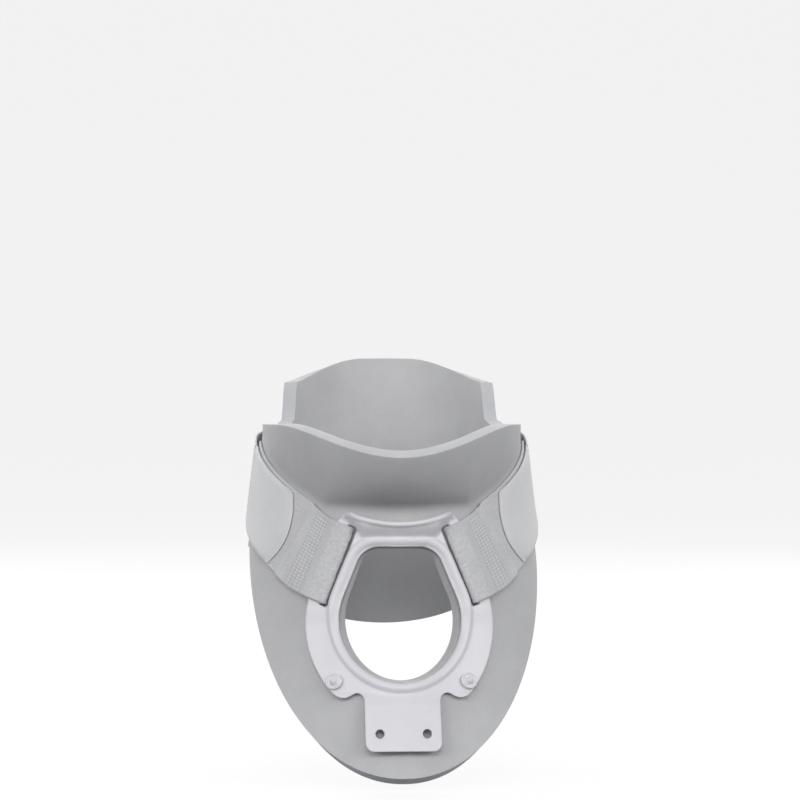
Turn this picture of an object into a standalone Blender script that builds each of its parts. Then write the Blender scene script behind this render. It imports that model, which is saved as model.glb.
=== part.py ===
"""Two-piece foam cervical collar with plastic front and rear supports and hook-and-loop straps.

Frame: metres, +Z up, the wearer faces -Y, and the collar is symmetric about the plane X = 0.
The origin is on the neck's centre line, at the height of the narrow waist's lower part.
All the sizes below are in millimetres and degrees, and turn into metres only when a mesh is made.
Angles go round the neck from the front: 0 is the front, 90 the side and 180 the back.
"""
import math

import bmesh
import bpy
from mathutils import Matrix, Vector

MM = 0.001
GAP = 0.3                    # air left between pieces that touch

# Foam shells
FOAM = 8.5                   # foam thickness
WAIST_Z = 28.0               # the foam is narrowest here
FLAP_TIP_Z = -122.0          # lowest point of the front flap
WAIST_HALF_WIDTH = 85.0      # outside of the foam at the waist
WAIST_DEPTH = 73.0           # from the neck's centre line to the outside of the foam, at the front
WAIST_TAPER = 17.5           # how fast the half width shrinks above the waist
FLAP_SPREAD = (21.0, 19.0)   # how much wider the wall is at the flap's tip: evenly, and more and more
FLAP_SLOPE = (31.35, 25.65)  # and how much further forward
CURVE_GROWTH = 22.0          # the ellipse that the wall follows gets this much deeper down to the tip
FLAP_HALF_WIDTH = 88.0       # the flap's outline is half an ellipse
FLAP_FULLNESS = 2.1          # and a little fuller, where 2 would be a true one
FLAP_TOP_Z = 4.0
WING_END = 96.0              # angle at which the front half's wings end
STRAIGHT = 1.45              # past 90 degrees the wings run straight back, in mm per degree
RIM_DEPTH = 107.0            # from the neck's centre line to the chin rim, at the front
RIM_FRONT_Z = 60.5
RIM_SIDE_Z = 79.0
RIM_LEVEL_ANGLE = 62.0       # the rim has reached its full height here
CREASE_Z = 31.0              # crease where the chin shelf starts, at the front
CREASE_CLEARANCE = 30.0      # between the strap's centre line and the crease above it
SHELF_MARGIN = 3.0           # the crease stays at least this far below the rim
SHELF_CUP = 0.13             # the shelf bulges forward and down by this share of its overhang
WALL_ROWS = 12               # rows of faces from the flap's lower edge to the crease
SHELF_ROWS = 4
FLAP_COLUMNS = 16            # columns of faces on each side of the middle
WING_COLUMNS = 2

REAR_START = 66.0            # angle at which the rear half's arms start, inside the front wings
REAR_DEPTH = 70.0
REAR_CLEARANCE = 0.5         # between the arms and the wings round them
HEAD_LEAN = (45.0, 18.0, 1.6)    # above this height the back leans out, by this much at the top, on this power
REAR_FLARE = (30.0, 22.0, 1.5)   # and the same below this height, down to the rear flap's tip
ARM_LOW_Z = 8.0
ARM_END_LIFT = 6.0           # the arms' lower edge rises by this towards their ends
ARM_HIGH_Z = 74.0
REAR_DROP = 56.0             # the rear flap hangs this far below the arms
SHOULDER_Z = 81.0
HEAD_PANEL_SIDE_Z = 105.0
HEAD_PANEL_TOP_Z = 118.0
SHOULDER_ANGLES = (80.0, 106.0)      # the top edge rises from the arm to the shoulder between these
PANEL_STEP_ANGLES = (106.0, 112.0)   # and steps up to the panel behind the head
CROWN_ANGLES = (108.0, 165.0)        # whose top is arched

# Plastic supports
PLATE = 2.2                  # plate thickness
PLATE_REST = 0.4             # lobes lie this far off the foam
BAR_LIFT = 2.3               # slot bars stand off the foam, so that the strap goes behind them
BAR_WIDTH = 6.8
FOLD_GAP = 0.45              # air between a bar and the strap that is folded round it
SLOT_WIDTH = 5.5
SLOT_LENGTH = 49.8
SLOT_LEAN = 21.3             # the front slots lean from the vertical
SLOT_CORNER = 1.5
SLOT_CENTRE = (36.05, -3.65)
WINDOW_CENTRE_Z = -35.0
WINDOW_RADIUS = 36.0
WINDOW_SIDE_LEAN = 22.5
WINDOW_TOP_Z = 7.6
WINDOW_CORNER = 14.0
FOAM_WINDOW_INSET = 1.5      # the foam's window is this much smaller all round than the plate's
BEAD_RADIUS = 2.5
LOBE_CENTRE_Z = -38.0
LOBE_RADIUS = 55.5
LOBE_START_ANGLE = 15.0
LOBE_END_ANGLE = -42.0       # the lobe's big arc runs into a small one here
LOBE_END_RADIUS = 9.4
NOTCH_CENTRE = (26.0, -79.6)     # between the lobe and the tab
NOTCH_RADIUS = 3.9
NOTCH_ANGLE = 72.0           # the notch's arc starts here, and the lobe's ends opposite
FRONT_RIVET = (38.4, -70.7)
TAB_HALF_WIDTH = 22.1
TAB_BOTTOM_Z = -107.0
TAB_TOP_Z = -76.0            # the tab leaves the wall's curve here
TAB_FLAT_Z = -84.0           # and is flat from here down
TAB_CORNER = 5.0
TAB_HOLE = (13.6, -97.5)
TAB_HOLE_RADIUS = 2.5
TAB_STAND_OFF = 3.2          # between the tab's lower edge and the foam
TOP_EDGE = (22.5, 5.6)       # height of the plate's top edge in the middle, and how much its corners rise
TOP_CORNER = (29.5, 25.0)    # centre of the rounded corner
TOP_CORNER_RADIUS = 3.0
TOP_CORNER_ANGLES = (110.0, 45.0)
BAR_ENDS = (23.7, -20.0)     # the bar's outer edge is straight between these heights along the slot
TOP_LIP = 8.0                # how far the plate's top edge curls forward
LIP_START_Z = 9.0
LIP_END_Z = 24.0
LIP_HALF_WIDTH = 19.0        # beyond this the curl starts higher and higher, clear of the strap
LIP_EASE = 1.2
BAR_RAMP_Z = (-42.0, -27.0)  # where the plate rises from the lobes' height to the bars'
FRONT_SHEET = (-62.0, 62.0, -112.0, 33.0)   # the sheet that the front plate is cut from, in x and z
REAR_SHEET = (-50.0, 50.0, -20.0, 105.0)
FRONT_CUT = (-150.0, -40.0)  # cutters reach from the first y to the second one
REAR_CUT = (40.0, 120.0)

REAR_SLOT_X = 36.0
REAR_STAY_HALF_WIDTH = 23.0
REAR_STAY_BOTTOM_Z = -14.0
REAR_STAY_TOP_Z = 99.0
REAR_STAY_CORNER = 10.0
REAR_WING_BELOW_SLOT = 6.0
REAR_WING_CORNERS = (12.0, 8.0, 7.0)     # at the top, at the lower tip, and where it meets the stay
REAR_RIVETS = ((14.0, 8.0), (14.0, 36.0))

# Rivets
RIVET_SHANK = 2.0
RIVET_FLANGE = 5.0
FLANGE_THICKNESS = 1.1
FLANGE_BEVEL = 0.5
RIVET_DOME = 2.7
DOME_HEIGHT = 1.7
RIVET_HOLE = 2.4
CLENCH = (3.4, 3.0, 1.3)     # the clenched end's outer and inner radius, and its thickness
PIN_LENGTH = 40.0            # long enough to cut through foam and plate
WASHER_RADIUS = 6.0
WASHER_THICKNESS = 1.2
FLANGE_SEAT = 0.7            # air under the middle of a flat flange on a curved wall

# Straps
LOOP_WIDTH = 48.0
LOOP_THICKNESS = 1.5
STRAP_WIDTH = 45.0
STRAP_THICKNESS = 1.2
HOOK_THICKNESS = 0.6
FRONT_RETURN = 25.5          # length of the strap that is folded back behind the bar
REAR_RETURN = 20.0
BAR_STEP = 6.0               # from the bar's edge, the strap comes down to its folded-back end in this length
STEP_DOWN = 5.0              # past the folded-back end, it comes down to the foam in this length
FRONT_BLEND = (6.0, 32.0)    # between these distances the strap's rows turn from the slot to the strap's path
REAR_BLEND = (6.0, 28.0)
TAIL_MARGIN = 1.5            # degrees from the loop strap's tail to the wing's end
STRAP_START_Z = -3.0         # height of the strap's centre line at the front bars
STRAP_RISE = 0.80            # mm per degree at the front bars
STRAP_EASE = 0.0010          # how the rise slackens towards the side
REAR_STRAP_Z = 68.0
REAR_STRAP_ANGLE = 152.0
TAB_FRONT_ANGLE = 54.0       # upper corner of the strap tab's front edge
TAB_CUT_BACK = (40.0, 32.0)  # how far the tab's front edge bulges, and how much of that its lower corner loses
HINGE_ANGLE = 100.0          # the strap bends open here
HINGE_EASE = 20.0            # before it, the strap rises from the rear foam in this length
HOOK_MARGINS = (3.0, 4.0)    # from the tip's bending line to the hook tape, and from the tape to the side
TIP_LENGTH = 8.0             # shortest length of the finger tip, along the strap
STRAP_PITCH = 0.607          # degrees round the neck per mm along the strap
REAR_PITCH = 1.25 * STRAP_PITCH    # the back of the neck curves more tightly


# ---------------------------------------------------------------- curves and surfaces, in millimetres

def smooth(value, low, high):
    """0 below low, 1 above high, and an easy S curve between them."""
    t = min(max((value - low) / (high - low), 0.0), 1.0)
    return t * t * (3.0 - 2.0 * t)


def drop(z):
    """0 at the waist and 1 at the tip of the front flap. Above the sides it stays level."""
    return max((WAIST_Z - z) / (WAIST_Z - FLAP_TIP_Z), -0.3)


def half_width(z):
    d = drop(z)
    if d < 0.0:
        return WAIST_HALF_WIDTH + WAIST_TAPER * d
    return WAIST_HALF_WIDTH + FLAP_SPREAD[0] * d + FLAP_SPREAD[1] * d * d


def front_depth(z):
    d = drop(z)
    return WAIST_DEPTH + FLAP_SLOPE[0] * d + FLAP_SLOPE[1] * d * d


def curve_depth(z):
    """Depth of the ellipse that the front wall follows at this height."""
    return WAIST_DEPTH + CURVE_GROWTH * drop(z)


def front_wall(angle, z):
    """Outside of the front half's foam below the chin shelf."""
    bend = math.radians(min(angle, 90.0))
    run = max(angle - 90.0, 0.0) * STRAIGHT
    depth = curve_depth(z)
    centre_y = depth - front_depth(z)
    return Vector((half_width(z) * math.sin(bend), centre_y - depth * math.cos(bend) + run, z))


def rear_depth(z):
    start_z, lean, power = HEAD_LEAN
    above = max(z - start_z, 0.0) / (HEAD_PANEL_TOP_Z - start_z)
    depth = REAR_DEPTH + lean * above ** power
    start_z, flare, power = REAR_FLARE
    below = max(start_z - z, 0.0) / (start_z - ARM_LOW_Z + REAR_DROP)
    return depth + flare * below ** power


def rear_half_width(z):
    return half_width(z) - FOAM - REAR_CLEARANCE


def rear_wall(angle, z):
    """Outside of the rear half's foam. Its arms lie inside the front half's wings."""
    bend = math.radians(angle)
    centre_y = curve_depth(z) - front_depth(z)
    depth = curve_depth(z) - FOAM - REAR_CLEARANCE
    if angle > 90.0:
        depth = rear_depth(z) - centre_y
    return Vector((rear_half_width(z) * math.sin(bend), centre_y - depth * math.cos(bend), z))


def outward(wall, angle, z):
    """The wall's outward normal, from two short steps along it."""
    step = 0.05
    along = wall(angle + step, z) - wall(angle - step, z)
    up = wall(angle, z + step) - wall(angle, z - step)
    return along.cross(up).normalized()


def lifted(wall, angle, z, height):
    return wall(angle, z) + outward(wall, angle, z) * height


def rim_height(angle):
    return RIM_FRONT_Z + (RIM_SIDE_Z - RIM_FRONT_Z) * smooth(angle, 0.0, RIM_LEVEL_ANGLE)


def rim_point(angle):
    """Outer edge of the chin rim."""
    z = rim_height(angle)
    bend = math.radians(min(angle, 90.0))
    run = max(angle - 90.0, 0.0) * STRAIGHT
    return Vector((half_width(z) * math.sin(bend), -RIM_DEPTH * math.cos(bend) + run, z))


def strap_centre_z(angle):
    """Height of the strap's centre line on its way round the neck."""
    bar_angle = front_bar_angle()
    past = min(angle, 90.0) - bar_angle
    height = STRAP_START_Z + STRAP_RISE * past - STRAP_EASE * past * past
    if angle > 90.0:
        slope = STRAP_RISE - 2.0 * STRAP_EASE * (90.0 - bar_angle)
        span = REAR_STRAP_ANGLE - 90.0
        bend = (slope * span - (REAR_STRAP_Z - height)) / (span * span)
        past = angle - 90.0
        height += slope * past - bend * past * past
    return height


def front_bar_centre():
    """Middle of the slot bar's inner edge, as x and z."""
    lean = math.radians(SLOT_LEAN)
    half = SLOT_WIDTH / 2.0
    return (SLOT_CENTRE[0] + half * math.cos(lean), SLOT_CENTRE[1] + half * math.sin(lean))


def front_bar_angle():
    x, z = front_bar_centre()
    return math.degrees(math.asin(x / half_width(z)))


def shelf_start_z(angle):
    """The chin shelf leaves the wall just above the strap's upper edge."""
    over_strap = strap_centre_z(max(angle, front_bar_angle())) + CREASE_CLEARANCE
    return min(max(CREASE_Z, over_strap), RIM_SIDE_Z - SHELF_MARGIN)


def shelf_point(angle, part):
    """A point on the chin shelf, from the crease (0) to the rim (1). The shelf is cupped like a palm."""
    start = front_wall(angle, shelf_start_z(angle))
    reach = rim_point(angle) - start
    level = Vector((reach.x, reach.y, 0.0))
    forward_and_down = (level.normalized() * reach.z - Vector((0.0, 0.0, level.length))).normalized()
    bulge = SHELF_CUP * level.length * 4.0 * part * (1.0 - part)
    return start + reach * part + forward_and_down * bulge


# ---------------------------------------------------------------- meshes and objects

def clear_scene():
    for item in list(bpy.data.objects):
        bpy.data.objects.remove(item, do_unlink=True)


def new_collection(name):
    made = bpy.data.collections.new(name)
    bpy.context.scene.collection.children.link(made)
    return made


def plain_material(name, colour, roughness):
    made = bpy.data.materials.new(name)
    made.use_nodes = True
    shader = made.node_tree.nodes["Principled BSDF"]
    shader.inputs["Base Color"].default_value = (*colour, 1.0)
    shader.inputs["Roughness"].default_value = roughness
    shader.inputs["Metallic"].default_value = 0.0
    return made


def add_object(name, mesh, collection, material=None):
    made = bpy.data.objects.new(name, mesh)
    collection.objects.link(made)
    if material:
        mesh.materials.append(material)
    return made


def surface(name, columns, rows, place, mirrored=False):
    """A grid whose points place(u, w) puts in space, u and w from 0 to 1. Its normals point outwards."""
    bm = bmesh.new()
    bmesh.ops.create_grid(bm, x_segments=columns, y_segments=rows, size=0.5)
    for vertex in bm.verts:
        u = vertex.co.x + 0.5
        w = vertex.co.y + 0.5
        point = place(1.0 - u if mirrored else u, w)
        if mirrored:
            point.x = -point.x
        vertex.co = point * MM
    mesh = bpy.data.meshes.new(name)
    bm.to_mesh(mesh)
    bm.free()
    return mesh


def thicken(item, thickness, side):
    """side is -1 for foam under its outer surface, 1 for a plate on its inner one, 0 for a strap."""
    solid = item.modifiers.new("Thickness", "SOLIDIFY")
    solid.thickness = thickness * MM
    solid.offset = side
    solid.use_even_offset = True


def cut(item, cutter, operation="DIFFERENCE"):
    knife = item.modifiers.new(cutter.name, "BOOLEAN")
    knife.operation = operation
    knife.solver = "EXACT"
    knife.object = cutter


def round_shading(item, angle=40.0):
    item.data.shade_smooth()
    item.data.set_sharp_from_angle(angle=math.radians(angle))


def mesh_from_curve(curve_object, collection):
    """The curve as a closed mesh in the cutters' collection, with its caps welded on."""
    graph = bpy.context.evaluated_depsgraph_get()
    mesh = bpy.data.meshes.new_from_object(curve_object.evaluated_get(graph))
    bm = bmesh.new()
    bm.from_mesh(mesh)
    bmesh.ops.remove_doubles(bm, verts=bm.verts, dist=0.00001)
    bmesh.ops.recalc_face_normals(bm, faces=bm.faces)
    bm.to_mesh(mesh)
    bm.free()
    made = bpy.data.objects.new(curve_object.name, mesh)
    collection.objects.link(made)
    made.matrix_world = curve_object.matrix_world.copy()
    made.hide_render = True
    made.display_type = "WIRE"
    bpy.data.objects.remove(curve_object, do_unlink=True)
    return made


def prism(name, outlines, near_y, far_y):
    """A block with this x-z outline, and holes where the outlines nest, from near_y to far_y."""
    curve = bpy.data.curves.new(name, "CURVE")
    curve.dimensions = "2D"
    curve.fill_mode = "BOTH"
    curve.extrude = abs(far_y - near_y) / 2.0 * MM
    for outline in outlines:
        spline = curve.splines.new("POLY")
        spline.points.add(len(outline) - 1)
        for point, (x, z) in zip(spline.points, outline):
            point.co = (x * MM, z * MM, 0.0, 1.0)
        spline.use_cyclic_u = True
    item = bpy.data.objects.new(name, curve)
    bpy.context.scene.collection.objects.link(item)
    item.rotation_euler = (math.pi / 2.0, 0.0, 0.0)
    item.location = (0.0, (near_y + far_y) / 2.0 * MM, 0.0)
    bpy.context.view_layer.update()
    return mesh_from_curve(item, CUTTERS)


def ring_tube(name, points, radius):
    """A closed tube of this radius through the points."""
    curve = bpy.data.curves.new(name, "CURVE")
    curve.dimensions = "3D"
    curve.bevel_depth = radius * MM
    curve.bevel_resolution = 2
    spline = curve.splines.new("POLY")
    spline.points.add(len(points) - 1)
    for point, place in zip(spline.points, points):
        point.co = (*(place * MM), 1.0)
    spline.use_cyclic_u = True
    item = bpy.data.objects.new(name, curve)
    bpy.context.scene.collection.objects.link(item)
    bpy.context.view_layer.update()
    return mesh_from_curve(item, CUTTERS)


def turned(name, profile):
    """A solid turned round +Z. The profile runs down its outer side, as radius and height."""
    bm = bmesh.new()
    points = [bm.verts.new((radius * MM, 0.0, height * MM)) for radius, height in profile]
    for first, second in zip(points, points[1:]):
        bm.edges.new((first, second))
    if profile[0][0] > 0.0:
        bm.edges.new((points[-1], points[0]))
    mesh = bpy.data.meshes.new(name)
    bm.to_mesh(mesh)
    bm.free()
    return mesh


def turn(item, steps=12):
    screw = item.modifiers.new("Turn", "SCREW")
    screw.steps = steps
    screw.render_steps = steps
    screw.use_merge_vertices = True
    screw.merge_threshold = 0.00001
    screw.use_normal_calculate = False


def arc(centre, radius, start, end, steps):
    """Points on an arc in x and z, with its angles from +X towards +Z."""
    points = []
    for step in range(steps + 1):
        angle = math.radians(start + (end - start) * step / steps)
        points.append((centre[0] + radius * math.cos(angle), centre[1] + radius * math.sin(angle)))
    return points


def both_sides(half):
    """A whole outline from its right half, which runs from the top centre to the bottom centre."""
    left = [(-x, z) for x, z in reversed(half) if x > 0.001]
    return half + left


# ---------------------------------------------------------------- outlines in x and z

def window_outline(inset=0.0):
    """The throat window, or a line that runs this far inside it."""
    corner_z = WINDOW_TOP_Z - WINDOW_CORNER
    lean = math.radians(WINDOW_SIDE_LEAN)
    reach = WINDOW_RADIUS - WINDOW_CORNER - (corner_z - WINDOW_CENTRE_Z) * math.sin(lean)
    corner_x = reach / math.cos(lean)
    half = [(0.0, WINDOW_TOP_Z - inset)]
    half += arc((corner_x, corner_z), WINDOW_CORNER - inset, 90.0, WINDOW_SIDE_LEAN, 6)
    half += arc((0.0, WINDOW_CENTRE_Z), WINDOW_RADIUS - inset, WINDOW_SIDE_LEAN, -90.0, 14)
    return both_sides(half)


def slot_point(across, along, side=1.0):
    """A point beside the front slot's centre: across it, away from the window, and up along it."""
    lean = math.radians(SLOT_LEAN)
    x = SLOT_CENTRE[0] + across * math.cos(lean) - along * math.sin(lean)
    z = SLOT_CENTRE[1] + across * math.sin(lean) + along * math.cos(lean)
    return (side * x, z)


def slot_outline(centre, lean, side):
    """A slot with rounded corners. A positive lean tips its top towards the middle."""
    half_across = SLOT_WIDTH / 2.0 - SLOT_CORNER
    half_along = SLOT_LENGTH / 2.0 - SLOT_CORNER
    outline = []
    for x, y, start in ((1, 1, 0), (-1, 1, 90), (-1, -1, 180), (1, -1, 270)):
        outline += arc((x * half_across, y * half_along), SLOT_CORNER, start, start + 90, 3)
    turned_lean = math.radians(lean)
    placed = []
    for across, along in outline:
        x = centre[0] + across * math.cos(turned_lean) - along * math.sin(turned_lean)
        z = centre[1] + across * math.sin(turned_lean) + along * math.cos(turned_lean)
        placed.append((side * x, z))
    return placed


def lobe_end_centre():
    """Where the small arc at a lobe's lower end is centred, so that it meets the big one smoothly."""
    turn_angle = math.radians(LOBE_END_ANGLE)
    reach = LOBE_RADIUS - LOBE_END_RADIUS
    return (reach * math.cos(turn_angle), LOBE_CENTRE_Z + reach * math.sin(turn_angle))


def front_plate_outline():
    """Top edge, slot bars, side lobes, notches and the lower tab."""
    bar_edge = SLOT_WIDTH / 2.0 + BAR_WIDTH
    middle_z, rise = TOP_EDGE
    half = [(x, middle_z + rise * (x / TOP_CORNER[0]) ** 2) for x in (0.0, 8.0, 16.0, 24.0)]
    half += arc(TOP_CORNER, TOP_CORNER_RADIUS, *TOP_CORNER_ANGLES, 4)
    half += [slot_point(bar_edge, along) for along in BAR_ENDS]
    half += arc((0.0, LOBE_CENTRE_Z), LOBE_RADIUS, LOBE_START_ANGLE, LOBE_END_ANGLE, 9)
    half += arc(lobe_end_centre(), LOBE_END_RADIUS, LOBE_END_ANGLE, NOTCH_ANGLE - 180.0, 4)
    half += arc(NOTCH_CENTRE, NOTCH_RADIUS, NOTCH_ANGLE, 180.0, 5)
    half += arc((TAB_HALF_WIDTH - TAB_CORNER, TAB_BOTTOM_Z + TAB_CORNER), TAB_CORNER, 0.0, -90.0, 4)
    half.append((0.0, TAB_BOTTOM_Z))
    return both_sides(half)


def rear_plate_outline():
    """A stay down the back of the neck, with a slotted wing on each side at the straps' height."""
    wing_x = REAR_SLOT_X + SLOT_WIDTH / 2.0 + BAR_WIDTH
    wing_low = REAR_STRAP_Z - SLOT_LENGTH / 2.0 - REAR_WING_BELOW_SLOT
    stay_x = REAR_STAY_HALF_WIDTH
    stay_low = REAR_STAY_BOTTOM_Z
    top, tip, armpit = REAR_WING_CORNERS
    foot = REAR_STAY_CORNER
    half = [(0.0, REAR_STAY_TOP_Z)]
    half += arc((wing_x - top, REAR_STAY_TOP_Z - top), top, 90.0, 0.0, 5)
    half += arc((wing_x - tip, wing_low + tip), tip, 0.0, -90.0, 4)
    half += arc((stay_x + armpit, wing_low - armpit), armpit, 90.0, 180.0, 4)
    half += arc((stay_x - foot, stay_low + foot), foot, 0.0, -90.0, 5)
    half.append((0.0, stay_low))
    return both_sides(half)


# ---------------------------------------------------------------- places on the walls

def angle_on_front(x, z):
    return math.degrees(math.asin(min(x / half_width(z), 1.0)))


def angle_on_rear(x, z):
    return 180.0 - math.degrees(math.asin(min(x / rear_half_width(z), 1.0)))


def seat(wall, angle, z, height, side):
    """A frame whose +Z is the wall's outward normal, at this height above the wall."""
    normal = outward(wall, angle, z)
    centre = wall(angle, z) + normal * height
    normal.x *= side
    centre.x *= side
    turn_to = Vector((0.0, 0.0, 1.0)).rotation_difference(normal)
    return Matrix.Translation(centre * MM) @ turn_to.to_matrix().to_4x4()


def path_slope(angle):
    """How steeply the strap climbs, in radians, and how many mm one degree is there."""
    z = strap_centre_z(angle)
    bend = math.radians(min(angle, 180.0 - angle))
    wide = half_width(z) * math.cos(bend)
    deep = curve_depth(z) * math.sin(bend)
    per_degree = math.radians(math.hypot(wide, deep))
    rise = strap_centre_z(angle + 0.5) - strap_centre_z(angle - 0.5)
    return math.atan2(rise, per_degree), per_degree


def across_strap(angle, offset):
    """The angle and height of a point this far across the strap from its centre line."""
    slope, per_degree = path_slope(angle)
    z = strap_centre_z(angle) + offset * math.cos(slope)
    return angle - offset * math.sin(slope) / per_degree, z


def below(wall, angle_at, x, z, height):
    """Where on the wall a point stands that is this high above it and has this x and z."""
    wall_x, wall_z = x, z
    for _ in range(5):
        normal = outward(wall, angle_at(wall_x, wall_z), wall_z)
        wall_x = x - normal.x * height
        wall_z = z - normal.z * height
    return angle_at(wall_x, wall_z), wall_z


def front_course(distance, offset, height):
    """Angle and height at a distance from the front bar. By the bar the strap's rows follow the slot."""
    x, z = slot_point(SLOT_WIDTH / 2.0 + distance, offset)
    by_slot = below(front_wall, angle_on_front, x, z, height)
    by_path = across_strap(front_bar_angle() + distance * STRAP_PITCH, offset)
    blend = smooth(distance, *FRONT_BLEND)
    return tuple(a + (b - a) * blend for a, b in zip(by_slot, by_path))


def rear_bar_angle():
    return angle_on_rear(REAR_SLOT_X + SLOT_WIDTH / 2.0, REAR_STRAP_Z)


def rear_course(distance, offset, height):
    """The same for the rear straps, whose slots are upright."""
    x = REAR_SLOT_X + SLOT_WIDTH / 2.0 + distance
    by_slot = below(rear_wall, angle_on_rear, x, REAR_STRAP_Z + offset, height)
    by_path = across_strap(rear_bar_angle() - distance * REAR_PITCH, offset)
    blend = smooth(distance, *REAR_BLEND)
    return tuple(a + (b - a) * blend for a, b in zip(by_slot, by_path))


def fold_stations(thickness, back):
    """Distance and height of the strap's middle: back behind the bar, round it, and out over it.

    The end that is folded back is this long.
    """
    behind = GAP + thickness / 2.0
    over = BAR_LIFT + PLATE + FOLD_GAP + thickness / 2.0
    radius = (over - behind) / 2.0
    stations = [(back * part, behind) for part in (1.0, 0.66, 0.33)]
    for step in range(9):
        turn_angle = math.pi * step / 8.0
        stations.append((-radius * math.sin(turn_angle), behind + radius - radius * math.cos(turn_angle)))
    lying = behind + thickness + GAP
    stations += [(BAR_WIDTH * 0.5, over), (BAR_WIDTH, over)]
    stations += [(BAR_WIDTH + BAR_STEP / 2.0, (over + lying) / 2.0), (BAR_WIDTH + BAR_STEP, lying)]
    stations += [(back + 1.0, lying), (back + STEP_DOWN, behind)]
    return stations


def between(stations, fraction):
    """The station at this fraction of the list, by straight steps from one to the next."""
    place = fraction * (len(stations) - 1)
    first = min(int(place + 1e-6), len(stations) - 2)
    rest = place - first
    return tuple(a + (b - a) * rest for a, b in zip(stations[first], stations[first + 1]))


# ---------------------------------------------------------------- foam

def front_foam_point(u, w):
    """The whole front half: flap, waist, wings and chin shelf. w goes from the lower edge to the rim."""
    side = 1.0 if u >= 0.5 else -1.0
    reach = abs(u - 0.5) * 2.0
    flap_share = FLAP_COLUMNS / (FLAP_COLUMNS + WING_COLUMNS)
    side_angle = angle_on_front(FLAP_HALF_WIDTH, FLAP_TOP_Z)
    if reach <= flap_share + 0.001:
        turn_angle = math.radians(min(90.0 * reach / flap_share, 90.0))
        power = 2.0 / FLAP_FULLNESS
        low_z = FLAP_TOP_Z - (FLAP_TOP_Z - FLAP_TIP_Z) * math.cos(turn_angle) ** power
        low_angle = angle_on_front(FLAP_HALF_WIDTH * math.sin(turn_angle) ** power, low_z)
        high_angle = side_angle * reach / flap_share
    else:
        low_z = FLAP_TOP_Z
        low_angle = side_angle + (WING_END - side_angle) * (reach - flap_share) / (1.0 - flap_share)
        high_angle = low_angle
    shelf_share = WALL_ROWS / (WALL_ROWS + SHELF_ROWS)
    shelf_z = shelf_start_z(high_angle)
    if w <= shelf_share + 0.001:
        part = w / shelf_share
        point = front_wall(low_angle + (high_angle - low_angle) * part, low_z + (shelf_z - low_z) * part)
    else:
        point = shelf_point(high_angle, (w - shelf_share) / (1.0 - shelf_share))
    point.x *= side
    return point


def rear_low_z(angle):
    if angle > 90.0:
        return ARM_LOW_Z + REAR_DROP * math.cos(math.radians(angle))
    return ARM_LOW_Z + ARM_END_LIFT * (1.0 - smooth(angle, REAR_START, 90.0))


def rear_high_z(angle):
    shoulder = ARM_HIGH_Z + (SHOULDER_Z - ARM_HIGH_Z) * smooth(angle, *SHOULDER_ANGLES)
    panel = (HEAD_PANEL_SIDE_Z - SHOULDER_Z) * smooth(angle, *PANEL_STEP_ANGLES)
    crown = (HEAD_PANEL_TOP_Z - HEAD_PANEL_SIDE_Z) * smooth(angle, *CROWN_ANGLES)
    return shoulder + panel + crown


def rear_foam_point(u, w):
    angle = REAR_START + (360.0 - 2.0 * REAR_START) * u
    side = 1.0 if angle <= 180.0 else -1.0
    angle = min(angle, 360.0 - angle)
    low_z = rear_low_z(angle)
    point = rear_wall(angle, low_z + (rear_high_z(angle) - low_z) * w)
    point.x *= side
    return point


def make_front_foam(material):
    columns = 2 * (FLAP_COLUMNS + WING_COLUMNS)
    mesh = surface("front_foam_shell", columns, WALL_ROWS + SHELF_ROWS, front_foam_point)
    item = add_object("front_foam_shell", mesh, PARTS, material)
    thicken(item, FOAM, -1.0)
    cut(item, prism("foam_window_cutter", [window_outline(FOAM_WINDOW_INSET)], *FRONT_CUT))
    for side in (1.0, -1.0):
        cut(item, rivet_cutter("front_foam_rivet_cutter", front_wall, angle_on_front, FRONT_RIVET, side))
    round_shading(item)
    return item


def make_rear_foam(material):
    item = add_object("rear_foam_shell", surface("rear_foam_shell", 40, 14, rear_foam_point), PARTS, material)
    thicken(item, FOAM, -1.0)
    for place in REAR_RIVETS:
        for side in (1.0, -1.0):
            cut(item, rivet_cutter("rear_foam_rivet_cutter", rear_wall, angle_on_rear, place, side))
    round_shading(item)
    return item


# ---------------------------------------------------------------- plastic supports

def on_sheet(sheet, u, w):
    left, right, low, high = sheet
    return left + (right - left) * u, low + (high - low) * w


def front_plate_lift(x, z):
    """How far the front plate's inner face lies off the foam. Its top edge curls forward."""
    lift = PLATE_REST + (BAR_LIFT - PLATE_REST) * smooth(z, *BAR_RAMP_Z)
    beside_slot = LIP_EASE * max(abs(x) - LIP_HALF_WIDTH, 0.0)
    return lift + TOP_LIP * smooth(z - beside_slot, LIP_START_Z, LIP_END_Z)


def front_plate_point(u, w):
    x, z = on_sheet(FRONT_SHEET, u, w)
    point = lifted(front_wall, angle_on_front(abs(x), z), z, front_plate_lift(x, z))
    point.x = math.copysign(point.x, x)
    flat_y = tab_plane_y(z)
    blend = smooth(-z, -TAB_TOP_Z, -TAB_FLAT_Z)
    point.y += (flat_y - point.y) * blend
    if blend >= 1.0:
        point.x = x
        point.z = z
    return point


def tab_plane_y(z):
    """The lower tab's flat inner face, which leans away from the foam."""
    low_y = -front_depth(TAB_BOTTOM_Z) - TAB_STAND_OFF
    high_y = -front_depth(TAB_TOP_Z) - PLATE_REST
    return high_y + (low_y - high_y) * (z - TAB_TOP_Z) / (TAB_BOTTOM_Z - TAB_TOP_Z)


def bead_points():
    """The bead's centre line, on the plate's outer face just outside the window."""
    points = []
    for x, z in window_outline(-BEAD_RADIUS - GAP):
        angle = angle_on_front(abs(x), z)
        point = lifted(front_wall, angle, z, front_plate_lift(x, z) + PLATE)
        point.x = math.copysign(point.x, x)
        points.append(point)
    return points


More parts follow.
